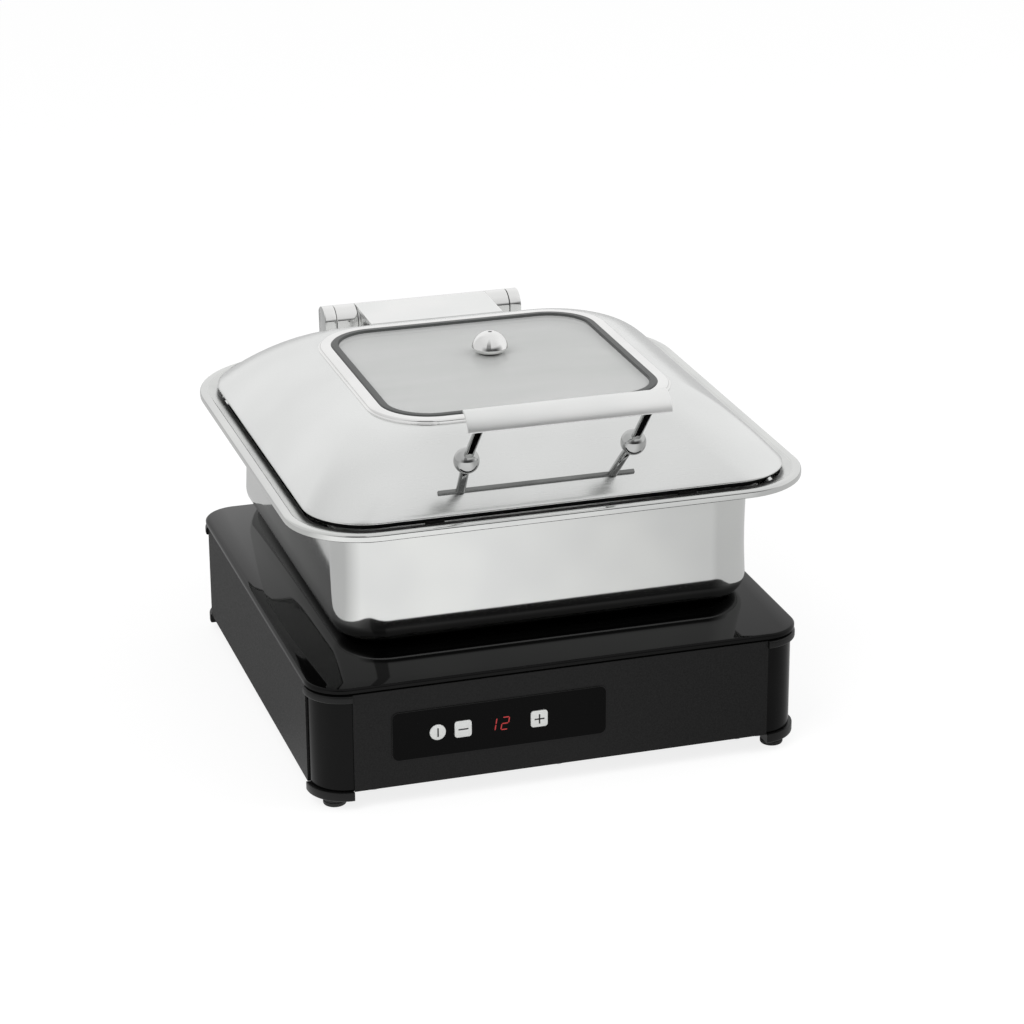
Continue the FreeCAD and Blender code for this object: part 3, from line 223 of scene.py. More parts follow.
# %% Small finishes
finishes["key_grey"] = plastic("key_cap_light_grey", "#ECEEEB", "#F4F5F3", (0.3, 0.4), 0.6, 0.006)
finishes["print_black"] = plastic("pad_print_black", "#060606", "#0B0B0B", (0.4, 0.5), 0.8, 0.0)
finishes["display_dark"] = plastic("display_filter_dark_red", "#12060A", "#1A0709", (0.1, 0.15), 8, 0.0)
finishes["board_green"] = plastic("circuit_laminate_green", "#1C5A30", "#256B3B", (0.3, 0.4), 3, 0.004)
finishes["part_dark"] = plastic("glass_filled_nylon_dark", "#242527", "#2E2F31", (0.4, 0.55), 1.0, 0.01)
finishes["copper"] = steel("enamelled_copper_wire", ("#B9683A", "#C9794A"), (0.25, 0.35), 1.5, 0.12)
finishes["ferrite"] = plastic("sintered_ferrite", "#3A3A3D", "#47474A", (0.5, 0.65), 0.5, 0.02)


def lit_segment():
    """A light-emitting segment: red, a little uneven where the diffuser is thin."""
    material, tree, shader = new_finish("led_segment_red", Roughness=0.4)
    patch = pattern(tree, 2.0)
    link(tree, blend_colours(tree, patch, "#C02C2E", "#CC3638").outputs["Color"], shader, "Emission Color")
    link(tree, blend_colours(tree, patch, "#6E1412", "#7C1816").outputs["Color"], shader, "Base Color")
    shader.inputs["Emission Strength"].default_value = 0.5
    return material


finishes["led_red"] = lit_segment()


def clear_glass():
    """Toughened soda-lime glass, only half see-through: its near-white body is painted light for the lit pan
    seen through it, in streaks, with a gloss that varies along the same streaks.
    """
    material, tree, shader = new_finish("clear_glass_painted_light_veil", IOR=1.5, Alpha=0.56)
    wipe = pattern(tree, 35, 2.0, (4, 1, 1))
    link(tree, blend_colours(tree, wipe, "#F2F4F2", "#FAFBFA").outputs["Color"], shader, "Base Color")
    link(tree, spread(tree, wipe, 0.01, 0.03).outputs["Result"], shader, "Roughness")
    return material


finishes["window_clear"] = clear_glass()
print("finishes in all:", len(finishes))

# %% [markdown]
# ## Every CAD piece gets its finish
# The record names a material slot for each CAD piece. The pieces that stay as CAD, such as the
# panels and everything inside the base, take the finish of that slot here. The remade pieces
# below hide their CAD node and take the same finish again.

# %% Dress the CAD pieces
for part in frame["record"]["subparts"]:
    mesh = frame["nodes"][part["node"]].data
    mesh.materials.clear()
    mesh.materials.append(finishes[part["material_slot"]])

# %% [markdown]
# ## Outlines that follow one another
# Nearly everything in the dish and the lid is one shape: a rectangle with round corners that grows,
# shrinks and climbs. A press tool makes it that way, in rings. So a piece is written down as a list
# of rings, each with half its length and width, its corner and its height. Four points and a vertex
# bevel make a ring, and bridging joins each ring to the next.

# %% Rings and skins
CORNER_STEPS = 16
# How far each ring sits above the last, and how near two points have to be to count as one.
LIFT, MERGE = 0.0005, 0.002


def outline(bm, half_x, half_y, front, rear, z, centre):
    """One level ring in millimetres: four points, with the front and the rear pair bevelled round."""
    known = set(bm.faces)
    signs = ((-1, -1), (1, -1), (1, 1), (-1, 1))
    points = [bm.verts.new(((centre[0] + sx * half_x) * MM, (centre[1] + sy * half_y) * MM, z * MM))
              for sx, sy in signs]
    bm.faces.new(points)
    for pair, corner in ((points[:2], front), (points[2:], rear)):
        bmesh.ops.bevel(bm, geom=pair, affect="VERTICES", offset=corner * MM, offset_type="OFFSET",
                        segments=CORNER_STEPS, profile=0.5, material=-1)
    face = next(f for f in bm.faces if f not in known)
    edges = list(face.edges)
    bmesh.ops.delete(bm, geom=[face], context="FACES_ONLY")
    return edges


def ring(size, inset, z, centre=None):
    """A ring that keeps an even distance inside a size: half x, half y, front corner, rear corner."""
    return (*(s - inset for s in size), z, centre)


def bend(size, inset, z, radius, start, end, steps):
    """Rings round a bend whose middle is at that inset and height; 0 points outwards, 90 up."""
    rings = []
    for i in range(steps + 1):
        angle = math.radians(start + (end - start) * i / steps)
        rings.append(ring(size, inset - radius * math.cos(angle), z + radius * math.sin(angle)))
    return rings


def skin(bm, rings, centre, closed=False, fill_start=False, fill_end=False, second=()):
    """Join the rings in order. A ring may carry its own centre as its last value. The strips whose
    numbers are in second take the piece's second finish.
    Each ring sits a hair higher than the last, because the bridge can't tell the direction of two
    rings that lie in one plane."""
    loops = [outline(bm, *r[:4], r[4] + LIFT * i, r[5] or centre) for i, r in enumerate(rings)]
    pairs = list(zip(loops, loops[1:] + loops[:1])) if closed else list(zip(loops, loops[1:]))
    for i, (lower, upper) in enumerate(pairs):
        for face in bmesh.ops.bridge_loops(bm, edges=lower + upper)["faces"]:
            face.material_index = int(i in second)
    for wanted, loop in ((fill_start, loops[0]), (fill_end, loops[-1])):
        if wanted:
            bmesh.ops.edgeloop_fill(bm, edges=loop)


def finish_piece(bm, name, body, slot, nodes=(), finish=None, sharp=32.0, second=None):
    """Close the mesh, turn it outwards and hand it to its body, slot and finish."""
    bmesh.ops.remove_doubles(bm, verts=bm.verts, dist=MERGE * MM)
    bmesh.ops.recalc_face_normals(bm, faces=bm.faces)
    mesh = bpy.data.meshes.new(name)
    bm.to_mesh(mesh)
    bm.free()
    mesh.polygons.foreach_set("use_smooth", [True] * len(mesh.polygons))
    mesh.set_sharp_from_angle(angle=math.radians(sharp))
    piece = bpy.data.objects.new(name, mesh)
    bpy.context.scene.collection.objects.link(piece)
    mesh.materials.append(finishes[finish or slot])
    if second:
        mesh.materials.append(finishes[second])
    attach(piece, body)
    if nodes:
        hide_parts(*nodes)
    print(name, len(mesh.polygons), "faces")


BASE = (0.0, 0.0)
DISH = (12.5, 44.0)
WINDOW = (12.5, 27.6)
print("ring helpers ready")

# %% [markdown]
# ## The glass-ceramic top
# It is one plate with ground corners and a ground bevel round its upper edge. The bevel is what
# catches the light as a thin line, so it is made of two small turns and a flat.

# %% Glass top
GLASS = (185.0, 190.0, 28.0, 28.0)
bm = bmesh.new()
skin(bm, [ring(GLASS, 0.5, 91.0), ring(GLASS, 0.0, 91.4), ring(GLASS, 0.0, 93.7), ring(GLASS, 0.12, 93.95),
          ring(GLASS, 1.0, 94.8), ring(GLASS, 1.35, 94.95), ring(GLASS, 1.6, 95.0)], BASE,
     fill_start=True, fill_end=True)
finish_piece(bm, "glass_plate", "base", "top_glass", ["glass_top"])

# %% [markdown]
# ## Corner posts, collars, shoes and feet
# Each corner of the base is a quarter-round extrusion between a collar and a shoe. A profile turned
# a quarter of the way round the corner's middle gives all three, so one helper spins a face and the
# pieces differ only in their profile. A full turn of another profile makes the rubber feet.

# %% Turned pieces of the base
POST_X, POST_Y = 156.5, 161.5
FOOT_X, FOOT_Y = 167.1, 172.1
CORNERS = ((-1, -1), (1, -1), (1, 1), (-1, 1))


def arc_points(middle_r, middle_z, radius, start, end, steps=4):
    """Points (r, z) along an arc of a profile."""
    angles = [math.radians(start + (end - start) * i / steps) for i in range(steps + 1)]
    return [(middle_r + radius * math.cos(a), middle_z + radius * math.sin(a)) for a in angles]


def turn(bm, profile, origin, axis=(0, 0, 1), out=(1, 0, 0), degrees=360.0, steps=64, filled=False):
    """Spin a profile of (distance from the axis, place along it) points, in millimetres."""
    start, along, away = Vector(origin) * MM, Vector(axis), Vector(out)
    points = [bm.verts.new(start + away * (r * MM) + along * (z * MM)) for r, z in profile]
    if filled:
        geometry = [bm.faces.new(points)]
    else:
        geometry = [bm.edges.new(pair) for pair in zip(points, points[1:])]
        geometry += points
    full = abs(degrees) >= 360
    bmesh.ops.spin(bm, geom=geometry, cent=start, axis=along, angle=math.radians(degrees), steps=steps,
                   use_merge=full, use_duplicate=False)


def corner_pieces(name, slot, node_names, profile):
    """The same quarter turn on all four corners of the base, as one piece."""
    bm = bmesh.new()
    for sx, sy in CORNERS:
        turn(bm, profile, (sx * POST_X, sy * POST_Y, 0), out=(sx, 0, 0), degrees=90.0 * sx * sy, steps=18,
             filled=True)
    finish_piece(bm, name, "base", slot, node_names)


post = [(23.0, 15.1), (25.6, 15.1), (26.0, 15.5), (26.0, 83.1), (25.6, 83.5), (23.0, 83.5)]
corner_pieces("post_skins", "post_black", ["corner_post_front_left", "corner_post_front_right",
                                           "corner_post_rear_right", "corner_post_rear_left"], post)
cap = [(0.0, 83.7), *arc_points(27.9, 85.0, 1.3, -90, 0), *arc_points(27.7, 88.0, 1.5, 0, 90), (0.0, 89.5)]
corner_pieces("post_collars", "trim_black", ["post_caps"], cap)
shoe = [(0.0, 7.6), *arc_points(27.2, 9.1, 1.5, -90, 0), *arc_points(28.3, 14.3, 0.4, 0, 90), (0.0, 14.7)]
corner_pieces("post_feet_shoes", "trim_black", ["post_shoes"], shoe)

bm = bmesh.new()
foot = [(0.0, 0.0), *arc_points(7.0, 1.5, 1.5, -90, 0), (8.5, 3.2), (8.1, 3.5), (8.1, 4.1), (8.5, 4.4),
        (8.5, 7.6), (0.0, 7.6)]
for sx, sy in CORNERS:
    turn(bm, foot, (sx * FOOT_X, sy * FOOT_Y, 0), steps=40)
finish_piece(bm, "grooved_feet", "base", "rubber_black", ["rubber_feet"])

# %% [markdown]
# ## The dish
# The dish is drawn in one piece: a tub with a round bottom, a ledge for the food pan, a throat whose
# wide slope runs in under the lid's edge, and a rim that turns down into a short hemmed skirt. Its
# wall is 0.9 mm, and bows in by about a millimetre half way up, as a drawn wall does when it springs
# back.
# The rings run once round the whole section, over the inside and back under the outside, so the
# sheet has a real thickness at the skirt.

# %% Dish
RIM = (195.4, 208.0, 58.0, 84.0)
WELL = (185.8, 199.0, 49.0, 75.0)
THROAT = (179.0, 193.6, 43.0, 69.0)
TUB = (160.0, 173.6, 39.0, 39.0)
WALL = 0.9
BOW = ((119.0, 0.5), (127.0, 0.85), (136.0, 1.1), (147.0, 1.15), (158.0, 1.0), (170.0, 0.6))


def dish_rings():
    """The dish's section from the middle of the inner floor, over the rim and back underneath, and
    the numbers of the strips that make the throat's slope."""
    inner = tuple(s - WALL for s in TUB)
    rings = bend(inner, 15.2, 111.0, 15.1, -90, 0, 8)
    rings += [ring(inner, inset, z) for z, inset in BOW] + [ring(inner, 0.1, 184.4)]
    rings += bend(inner, -2.2, 184.8, 2.2, 180, 90, 4)
    rings += bend(THROAT, 1.8, 188.8, 1.8, -90, 0, 4)
    slope = range(len(rings) - 1, len(rings) + 8)
    rings += [ring(THROAT, 0.0, 194.6), ring(THROAT, -0.2, 195.4), ring(THROAT, -0.7, 196.0),
              ring(THROAT, -1.5, 196.4), ring(WELL, 3.4, 196.72), ring(WELL, 1.4, 197.12),
              ring(WELL, -0.8, 197.43), ring(WELL, -3.0, 197.66), ring(WELL, -3.2, 197.7),
              ring(WELL, -3.6, 197.95), ring(WELL, -3.8, 198.15), ring(WELL, -4.1, 198.2),
              ring(RIM, 2.8, 198.2)]
    rings += bend(RIM, 2.2, 196.0, 2.2, 90, 0, 6)
    rings += bend(RIM, 1.1, 193.3, 1.1, 0, -90, 4)
    rings += [ring(RIM, 1.7, 192.4), ring(RIM, 2.1, 192.9), ring(RIM, 1.9, 193.6), ring(RIM, 1.2, 194.0),
              ring(RIM, WALL, 194.6)]
    rings += bend(RIM, 2.2, 196.0, 1.3, 0, 90, 4)
    rings += [ring(WELL, -4.6, 197.3), ring(WELL, -3.4, 196.8), ring(WELL, 1.2, 196.2),
              ring(THROAT, -1.7, 195.4), ring(THROAT, -0.9, 194.6)]
    rings += bend(THROAT, 1.7, 188.7, 2.6, 0, -90, 5)
    rings += bend(TUB, -1.3, 184.8, 1.3, 90, 180, 3)
    rings += [ring(TUB, inset, z) for z, inset in BOW[::-1]]
    rings += bend(TUB, 16.1, 111.0, 16.0, 0, -90, 8)
    return rings, slope


bm = bmesh.new()
rings, slope = dish_rings()
skin(bm, rings, DISH, fill_start=True, fill_end=True, second=slope)
finish_piece(bm, "drawn_dish", "dish", "steel_polished", ["water_pan"], "dish_steel", second="throat_satin")

# %% [markdown]
# ## The food pan
# A two-thirds gastronorm pan, the size that every commercial kitchen shares. Its flat flange hangs on
# the dish's ledge and has a small hem, and the tub has the generous corners and draft that let the
# pans stack. It is empty, and its floor shows through the window.

# %% Food pan
FLANGE = (162.5, 177.0, 24.0, 24.0)
PAN = (150.5, 165.0, 42.0, 42.0)


def pan_rings():
    """The pan's section from the inner floor over the flange and back underneath."""
    inner = tuple(s - 0.8 for s in PAN)
    rings = bend(inner, 19.0, 137.1, 13.2, -90, 0, 8)
    rings += [ring(inner, 3.0, 160.0), ring(inner, 0.4, 184.2)]
    rings += bend(inner, -3.0, 185.1, 3.0, 180, 90, 5)
    rings += [ring(FLANGE, 1.2, 188.1)] + bend(FLANGE, 0.8, 188.3, 0.6, 180, 0, 4)
    rings += [ring(FLANGE, 0.2, 187.5), ring(FLANGE, 0.5, 187.3), ring(FLANGE, 2.0, 187.3)]
    rings += bend(PAN, -2.2, 185.1, 2.2, 90, 180, 5)
    rings += [ring(PAN, 0.4, 184.2), ring(PAN, 3.0, 160.0)]
    rings += bend(PAN, 20.0, 137.1, 14.0, 0, -90, 8)
    return rings


bm = bmesh.new()
skin(bm, pan_rings(), DISH, fill_start=True, fill_end=True)
finish_piece(bm, "gastronorm_pan", "food_pan", "steel_satin", ["food_pan"])

# %% [markdown]
# ## The lid
# The lid is a shallow pressed dome: steep above its lip, then easing off until it is level round the
# window. One power curve gives that slope, and the corners keep a large radius all the way up, which
# leaves the soft crease that runs from each corner of the window to each corner of the lid.

# %% Lid
LID = (181.3, 196.6, 47.0, 73.0)
CROWN = (116.4, 117.9, 50.0, 50.0)
DOME_Z, DOME_RISE, DOME_POWER = 201.8, 45.5, 1.6
CROWN_Z = DOME_Z + DOME_RISE
WINDOW_SHIFT = WINDOW[1] - DISH[1]


def dome_height(step):
    """The dome's height at a share of the way from lip to crown."""
    return DOME_Z + DOME_RISE * (1 - (1 - step) ** DOME_POWER)


def dome_ring(step, wall=0.0):
    """The dome's ring at a share of the way from lip to crown, moved inwards by the wall."""
    slope = DOME_POWER * (1 - step) ** (DOME_POWER - 1) * DOME_RISE / (LID[0] - CROWN[0])
    side, drop = wall * slope / math.hypot(slope, 1.0), wall / math.hypot(slope, 1.0)
    across, front_corner, rear_corner = (LID[i] + (CROWN[i] - LID[i]) * step - side for i in (0, 2, 3))
    front = -LID[1] + (LID[1] + WINDOW_SHIFT - CROWN[1]) * step + side
    rear = LID[1] - (LID[1] - WINDOW_SHIFT - CROWN[1]) * step - side
    centre = (DISH[0], DISH[1] + (front + rear) / 2)
    return (across, (rear - front) / 2, front_corner, rear_corner, dome_height(step) - drop, centre)


def lid_rings():
    """The lid's section: down the inside, round the tucked lip, under the edge and up over the dome,
    and the numbers of the strips that make the hem."""
    hole = (104.2, 105.7, 36.0, 36.0)
    steps = [i / 30 for i in range(31)]
    inside = [dome_ring(s, 1.0) for s in steps[4:]]
    outside = [dome_ring(s) for s in steps[1:]]
    rings = [ring(hole, 0.0, CROWN_Z, WINDOW), ring(hole, 0.0, CROWN_Z - 1.1, WINDOW)]
    rings += inside[::-1]
    hem = range(len(rings) - 1, len(rings) + 8)
    rings += [ring(LID, 6.3, 206.5), ring(LID, 6.3, 196.1), ring(LID, 6.1, 195.9),
              ring(LID, 5.8, 195.8), ring(LID, 5.5, 195.9), ring(LID, 5.3, 196.1), ring(LID, 5.3, 204.4)]
    rings += [ring(LID, 2.0, 202.1), ring(LID, 0.9, 200.9), ring(LID, 0.3, 200.7), ring(LID, 0.0, 201.0),
              ring(LID, 0.05, 201.6), ring(LID, 0.3, 202.1)] + outside
    return rings, hem


bm = bmesh.new()
rings, hem = lid_rings()
skin(bm, rings, DISH, closed=True, second=hem)
# The hem's strips take the dark finish: painted shade in the gap under the lid's edge.
finish_piece(bm, "pressed_lid", "lid", "steel_polished", ["lid_shell"], second="hem_painted_shade")

# %% [markdown]
# ## The bumpers
# Eight rubber clips sit on the lid's turned-in edge and keep it a hair off the ledge, so the lid
# closes without a clang. Each is a small block with eased edges, two on every side of the lid.

# %% Bumpers
BUMPER_X, BUMPER_Y, BUMPER_HALF = 95.0, 88.0, 7.0
BUMPER_INSETS = (4.7, 7.1)
BUMPER_LOW, BUMPER_HIGH = 187.4, 197.4


def box_piece(bm, low, high, edge):
    """A bar with all its edges eased, in millimetres."""
    low, high = Vector(low) * MM, Vector(high) * MM
    made = bmesh.ops.create_cube(bm, size=1.0)["verts"]
    bmesh.ops.scale(bm, vec=high - low, verts=made)
    bmesh.ops.translate(bm, vec=(low + high) / 2, verts=made)
    edges = list({e for v in made for e in v.link_edges})
    bmesh.ops.bevel(bm, geom=edges, affect="EDGES", offset=edge * MM, segments=3, profile=0.5, material=-1)


def bumper(bm, x_ends, y_ends):
    """One clip, between two places across the lid and two places along it."""
    (x0, x1), (y0, y1) = sorted(x_ends), sorted(y_ends)
    box_piece(bm, (x0, y0, BUMPER_LOW), (x1, y1, BUMPER_HIGH), 0.5)


bm = bmesh.new()
for side in (-1, 1):
    side_edge = [DISH[0] + side * (LID[0] - inset) for inset in BUMPER_INSETS]
    end_edge = [DISH[1] + side * (LID[1] - inset) for inset in BUMPER_INSETS]
    for x in (DISH[0] - BUMPER_X, DISH[0] + BUMPER_X):
        bumper(bm, (x - BUMPER_HALF, x + BUMPER_HALF), end_edge)
    for y in (DISH[1] - BUMPER_Y, DISH[1] + BUMPER_Y):
        bumper(bm, side_edge, (y - BUMPER_HALF, y + BUMPER_HALF))
finish_piece(bm, "lid_clip_bumpers", "lid", "rubber_black", ["lid_bumpers"])

# %% [markdown]
# ## The window
# A polished flange stands on the crown, a dark seal sits in it, and the toughened pane is held in the
# seal. Three ring stacks make them. The flange's outer edge is a full round, because that is what
# throws the bright line round the window.

# %% Window flange, seal and pane
FRAME = (116.4, 117.9, 48.2, 48.2)
OPENING = (106.2, 107.7, 38.0, 38.0)
PANE = (103.2, 104.7, 35.0, 35.0)
flange = [ring(FRAME, 0.0, CROWN_Z)] + bend(FRAME, 0.7, 247.9, 0.7, 0, 90, 3)
flange += [ring(FRAME, 1.2, 248.2), ring(FRAME, 1.5, 248.6)] + bend(FRAME, 3.3, 248.7, 1.8, 0, 90, 6)
flange += [ring(OPENING, -1.6, 250.5)] + bend(OPENING, -0.8, 249.7, 0.8, 90, 180, 4)
flange += [ring(OPENING, 0.0, CROWN_Z)]
bm = bmesh.new()
skin(bm, flange, WINDOW, closed=True)
finish_piece(bm, "window_flange", "lid", "steel_polished", ["window_frame"], "steel_mirror")

seal = [ring(OPENING, 0.0, CROWN_Z)] + bend(OPENING, 0.9, 250.2, 0.9, 0, 90, 4)
seal += [ring(OPENING, 4.4, 251.1), ring(OPENING, 5.0, 251.1), ring(OPENING, 6.0, 249.3)]
seal += [ring(OPENING, 3.0, 249.3), ring(OPENING, 3.0, 245.3), ring(OPENING, 6.0, 245.3)]
seal += [ring(OPENING, 6.0, 243.9), ring(OPENING, 2.0, 243.9), ring(OPENING, 2.0, CROWN_Z)]
bm = bmesh.new()
skin(bm, seal, WINDOW, closed=True)
finish_piece(bm, "window_gasket", "lid", "rubber_black", ["window_seal"], "seal_grey")

bm = bmesh.new()
skin(bm, [ring(PANE, 0.6, 245.3), ring(PANE, 0.0, 245.9), ring(PANE, 0.0, 248.7), ring(PANE, 0.6, 249.3)],
     WINDOW, fill_start=True, fill_end=True)
# The pane's near-white body is painted light for the lit pan below it.
finish_piece(bm, "window_glass", "lid", "window_clear", ["window_pane"])

# %% [markdown]
# ## The knob
# The knob is turned from bar: a flared foot, a crisp widest line and a domed top with a vent hole
# down its middle. A lathe profile spun once round is exactly how the real one is cut.

# %% Knob
KNOB = (19.0, 52.5, 0.0)
knob_profile = [(3.4, 250.3), (9.3, 250.3), (10.9, 250.8), (12.6, 251.8), (13.6, 252.9), (14.1, 253.9),
                (14.3, 254.4), (14.2, 254.75), (13.9, 255.9), (13.2, 257.7), (12.1, 259.8), (10.6, 261.8),
                (8.7, 263.6), (6.5, 265.0), (4.4, 265.85), (2.6, 266.3), (2.0, 266.25), (1.6, 265.85),
                (1.6, 260.1), (3.4, 260.1), (3.4, 250.3)]
bm = bmesh.new()
turn(bm, knob_profile, KNOB, steps=72)
finish_piece(bm, "vent_knob_turned", "vent_knob", "steel_polished", ["vent_knob"], "steel_mirror", 40)

# %% [markdown]
# ## The grip
# Two flat arms stand on a slim bar on the dome's slope, pass through a polished ball each, and carry a
# satin strip bent to an arc. Everything stands along one line that rises forwards at 47 degrees, so
# the pieces are made upright round that line and one matrix leans them over.

# %% Grip frame
GRIP_X, FOOT_INSET = -5.1, 11.6
ARM_LEAN = 47.0
LEAN = Matrix.Rotation(math.radians(90.0 - ARM_LEAN), 4, "X")
STEP = FOOT_INSET / (LID[1] + WINDOW_SHIFT - CROWN[1])
GRIP_FOOT = Vector((GRIP_X, DISH[1] - LID[1] + FOOT_INSET, dome_height(STEP)))
STAND_UP = Matrix.Translation(GRIP_FOOT * MM) @ LEAN
FOOT_SPREAD, BALL_SPREAD, BALL_REACH, TOP_REACH = 57.0, 61.4, 47.4, 107.7
BALL_RADIUS = 9.3


def stand_up(bm):
    """Lean a piece that was made upright at the origin over, and set it on the dome."""
    bmesh.ops.transform(bm, matrix=STAND_UP, verts=bm.verts)


print("grip foot at", tuple(round(v, 2) for v in GRIP_FOOT))

# %% Arms
ARM_HALF = (3.5, 2.5, 2.4, 2.4)


def arm_rings(side):
    """An arm's rings, upright: from the bar through the ball to the underside of the strip."""
    path = ((1.4, FOOT_SPREAD), (25.0, FOOT_SPREAD + 2.04), (BALL_REACH, BALL_SPREAD),
            (80.0, BALL_SPREAD), (TOP_REACH - 2.3, BALL_SPREAD))
    return [(*ARM_HALF, reach, (side * x, 0.0)) for reach, x in path]


for side, word in ((-1, "left"), (1, "right")):
    bm = bmesh.new()
    skin(bm, arm_rings(side), (0, 0), fill_start=True, fill_end=True)
    stand_up(bm)
    finish_piece(bm, "flat_arm_" + word, "lid", "steel_polished", ["grip_arm_" + word], "chrome")

bm = bmesh.new()
for side in (-1, 1):
    ball = bmesh.ops.create_uvsphere(bm, u_segments=48, v_segments=32, radius=BALL_RADIUS * MM)
    bmesh.ops.translate(bm, verts=ball["verts"], vec=Vector((side * BALL_SPREAD, 0, BALL_REACH)) * MM)
stand_up(bm)
finish_piece(bm, "polished_balls", "lid", "steel_polished", ["grip_balls"], "chrome")

# %% Mounting bar and grip strip
GRIP_LENGTH = 147.0
STRIP_RADIUS, STRIP_THICK, STRIP_HALF_ANGLE = 17.0, 2.0, 34.0
bm = bmesh.new()
box_piece(bm, (-GRIP_LENGTH / 2, -1.6, 0.15), (GRIP_LENGTH / 2, 1.6, 1.6), 0.5)
stand_up(bm)
# The bar takes the dark steel: painted shade under the grip.
finish_piece(bm, "mounting_bar", "lid", "steel_polished", ["grip_bar"], "steel_ground_painted_shade")


def pull_out(bm, faces, way):
    """Pull flat faces out into a solid, by a way in millimetres."""
    grown = bmesh.ops.extrude_face_region(bm, geom=faces, use_keep_orig=True)
    moved = [v for v in grown["geom"] if isinstance(v, bmesh.types.BMVert)]
    bmesh.ops.translate(bm, vec=Vector(way) * MM, verts=moved)


def break_edges(bm):
    """Turn a solid's faces outwards and take the sharpness off its crisp edges."""
    bmesh.ops.recalc_face_normals(bm, faces=bm.faces)
    crisp = [e for e in bm.edges if len(e.link_faces) == 2 and e.calc_face_angle() > math.radians(60)]
    bmesh.ops.bevel(bm, geom=crisp, affect="EDGES", offset=0.35 * MM, segments=2, profile=0.5, material=-1)


def strip_face(bm, radius, thick, half_angle, steps=20):
    """A short radial line spun round the strip's middle: the end view of the bent strip."""
    middle = Vector((0, 0, TOP_REACH - radius + thick)) * MM
    turn_back = Matrix.Rotation(math.radians(half_angle), 3, "X")
    spoke = turn_back @ Vector((0, 0, 1))
    ends = [bm.verts.new(middle + spoke * (r * MM)) for r in (radius - thick, radius)]
    edge = bm.edges.new(ends)
    bmesh.ops.spin(bm, geom=[edge, *ends], cent=middle, axis=(1, 0, 0), angle=math.radians(-2 * half_angle),
                   steps=steps, use_merge=False, use_duplicate=False)


bm = bmesh.new()
strip_face(bm, STRIP_RADIUS, STRIP_THICK, STRIP_HALF_ANGLE)
bmesh.ops.translate(bm, vec=(-GRIP_LENGTH / 2 * MM, 0, 0), verts=bm.verts)
bmesh.ops.remove_doubles(bm, verts=bm.verts, dist=MERGE * MM)
pull_out(bm, list(bm.faces), (GRIP_LENGTH, 0, 0))
break_edges(bm)
stand_up(bm)
finish_piece(bm, "bent_grip_strip", "lid", "steel_satin", ["grip_strip"])

# %% [markdown]
# ## The hinge
# A barrel of five lengths lies along the dish's rear rim: the long middle one turns with the lid, the
# two beside it stay with the dish, and an end cheek closes each side and runs down to the foot. A
# brushed cover plate slopes from the barrel to the window. Lathe profiles make the barrel, and small
# chamfers at each joint keep the lengths apart to the eye, as the real saw cuts do.

# %% Hinge barrel
HINGE = (16.1, 241.6, 225.1)
BARREL = 13.0
# From the hinge's middle: the ends of the middle length, of the fixed lengths and of the cheeks.
MIDDLE_END, FIXED_END, CHEEK_END = 55.0, 73.0, 83.0
SAW_CUT = 0.5
PIN_BORE, BRAKE_BORE = 4.05, 8.05


def barrel_length(bm, x0, x1, bore, chamfer=0.35):
    """A turned length of the barrel between two places across the dish, bored for the pin."""
    profile = [(bore, x0), (BARREL - chamfer, x0), (BARREL, x0 + chamfer), (BARREL, x1 - chamfer),
               (BARREL - chamfer, x1), (bore, x1), (bore, x0)]
    turn(bm, profile, HINGE, axis=(1, 0, 0), out=(0, 0, 1), steps=72)


bm = bmesh.new()
barrel_length(bm, -MIDDLE_END, MIDDLE_END, PIN_BORE)
finish_piece(bm, "barrel_middle", "lid", "steel_polished", ["lid_knuckle"], "steel_mirror")
for side, word in ((-1, "left"), (1, "right")):
    bm = bmesh.new()
    x0, x1 = sorted((side * (MIDDLE_END + SAW_CUT), side * FIXED_END))
    barrel_length(bm, x0, x1, BRAKE_BORE)
    finish_piece(bm, "barrel_fixed_" + word, "dish", "steel_polished", ["dish_knuckle_" + word],
                 "steel_mirror")

# %% End cheeks
REAR_Y = 250.8
FOOT_Z = 200.7


def cheek(bm, x0, x1):
    """An end cheek: half round over the pin, then straight down at the rear to the foot."""
    known = set(bm.verts)
    start = bm.verts.new(Vector((HINGE[0] + x0, HINGE[1], HINGE[2] - BARREL)) * MM)
    middle = Vector((HINGE[0] + x0, HINGE[1], HINGE[2])) * MM
    bmesh.ops.spin(bm, geom=[start], cent=middle, axis=(1, 0, 0), angle=math.radians(-236), steps=40,
                   use_merge=False, use_duplicate=False)
    path = [v for v in bm.verts if v not in known]
    corner = bm.verts.new(Vector((HINGE[0] + x0, REAR_Y, FOOT_Z)) * MM)
    inner = bm.verts.new(Vector((HINGE[0] + x0, HINGE[1], FOOT_Z)) * MM)
    face = bm.faces.new(path + [corner, inner])
    pull_out(bm, [face], (x1 - x0, 0, 0))


bm = bmesh.new()
for x0, x1 in ((-CHEEK_END, -FIXED_END - SAW_CUT), (FIXED_END + SAW_CUT, CHEEK_END)):
    cheek(bm, x0, x1)
break_edges(bm)
bm.normal_update()
for face in bm.faces:
    face.material_index = int(abs(face.normal.x) > 0.9)
finish_piece(bm, "end_cheeks", "dish", "steel_polished", ["hinge_caps"], "steel_mirror", second="steel_face")

# %% [markdown]
# ## Small pieces that only need smoothing
# The hinge's stand and cover plate, the screws and the gland are right as the CAD made them, but
# their curves came over as loose triangles. A copy of each is merged into one surface and smoothed,
# and hides its node.

# %% Smoothed copies
def smoothed_copy(node, name, body, slot):
    """A merged copy of a CAD piece, shaded smooth between its real edges."""
    bm = bmesh.new()
    bm.from_mesh(frame["nodes"][node].data)
    finish_piece(bm, name, body, slot, [node])


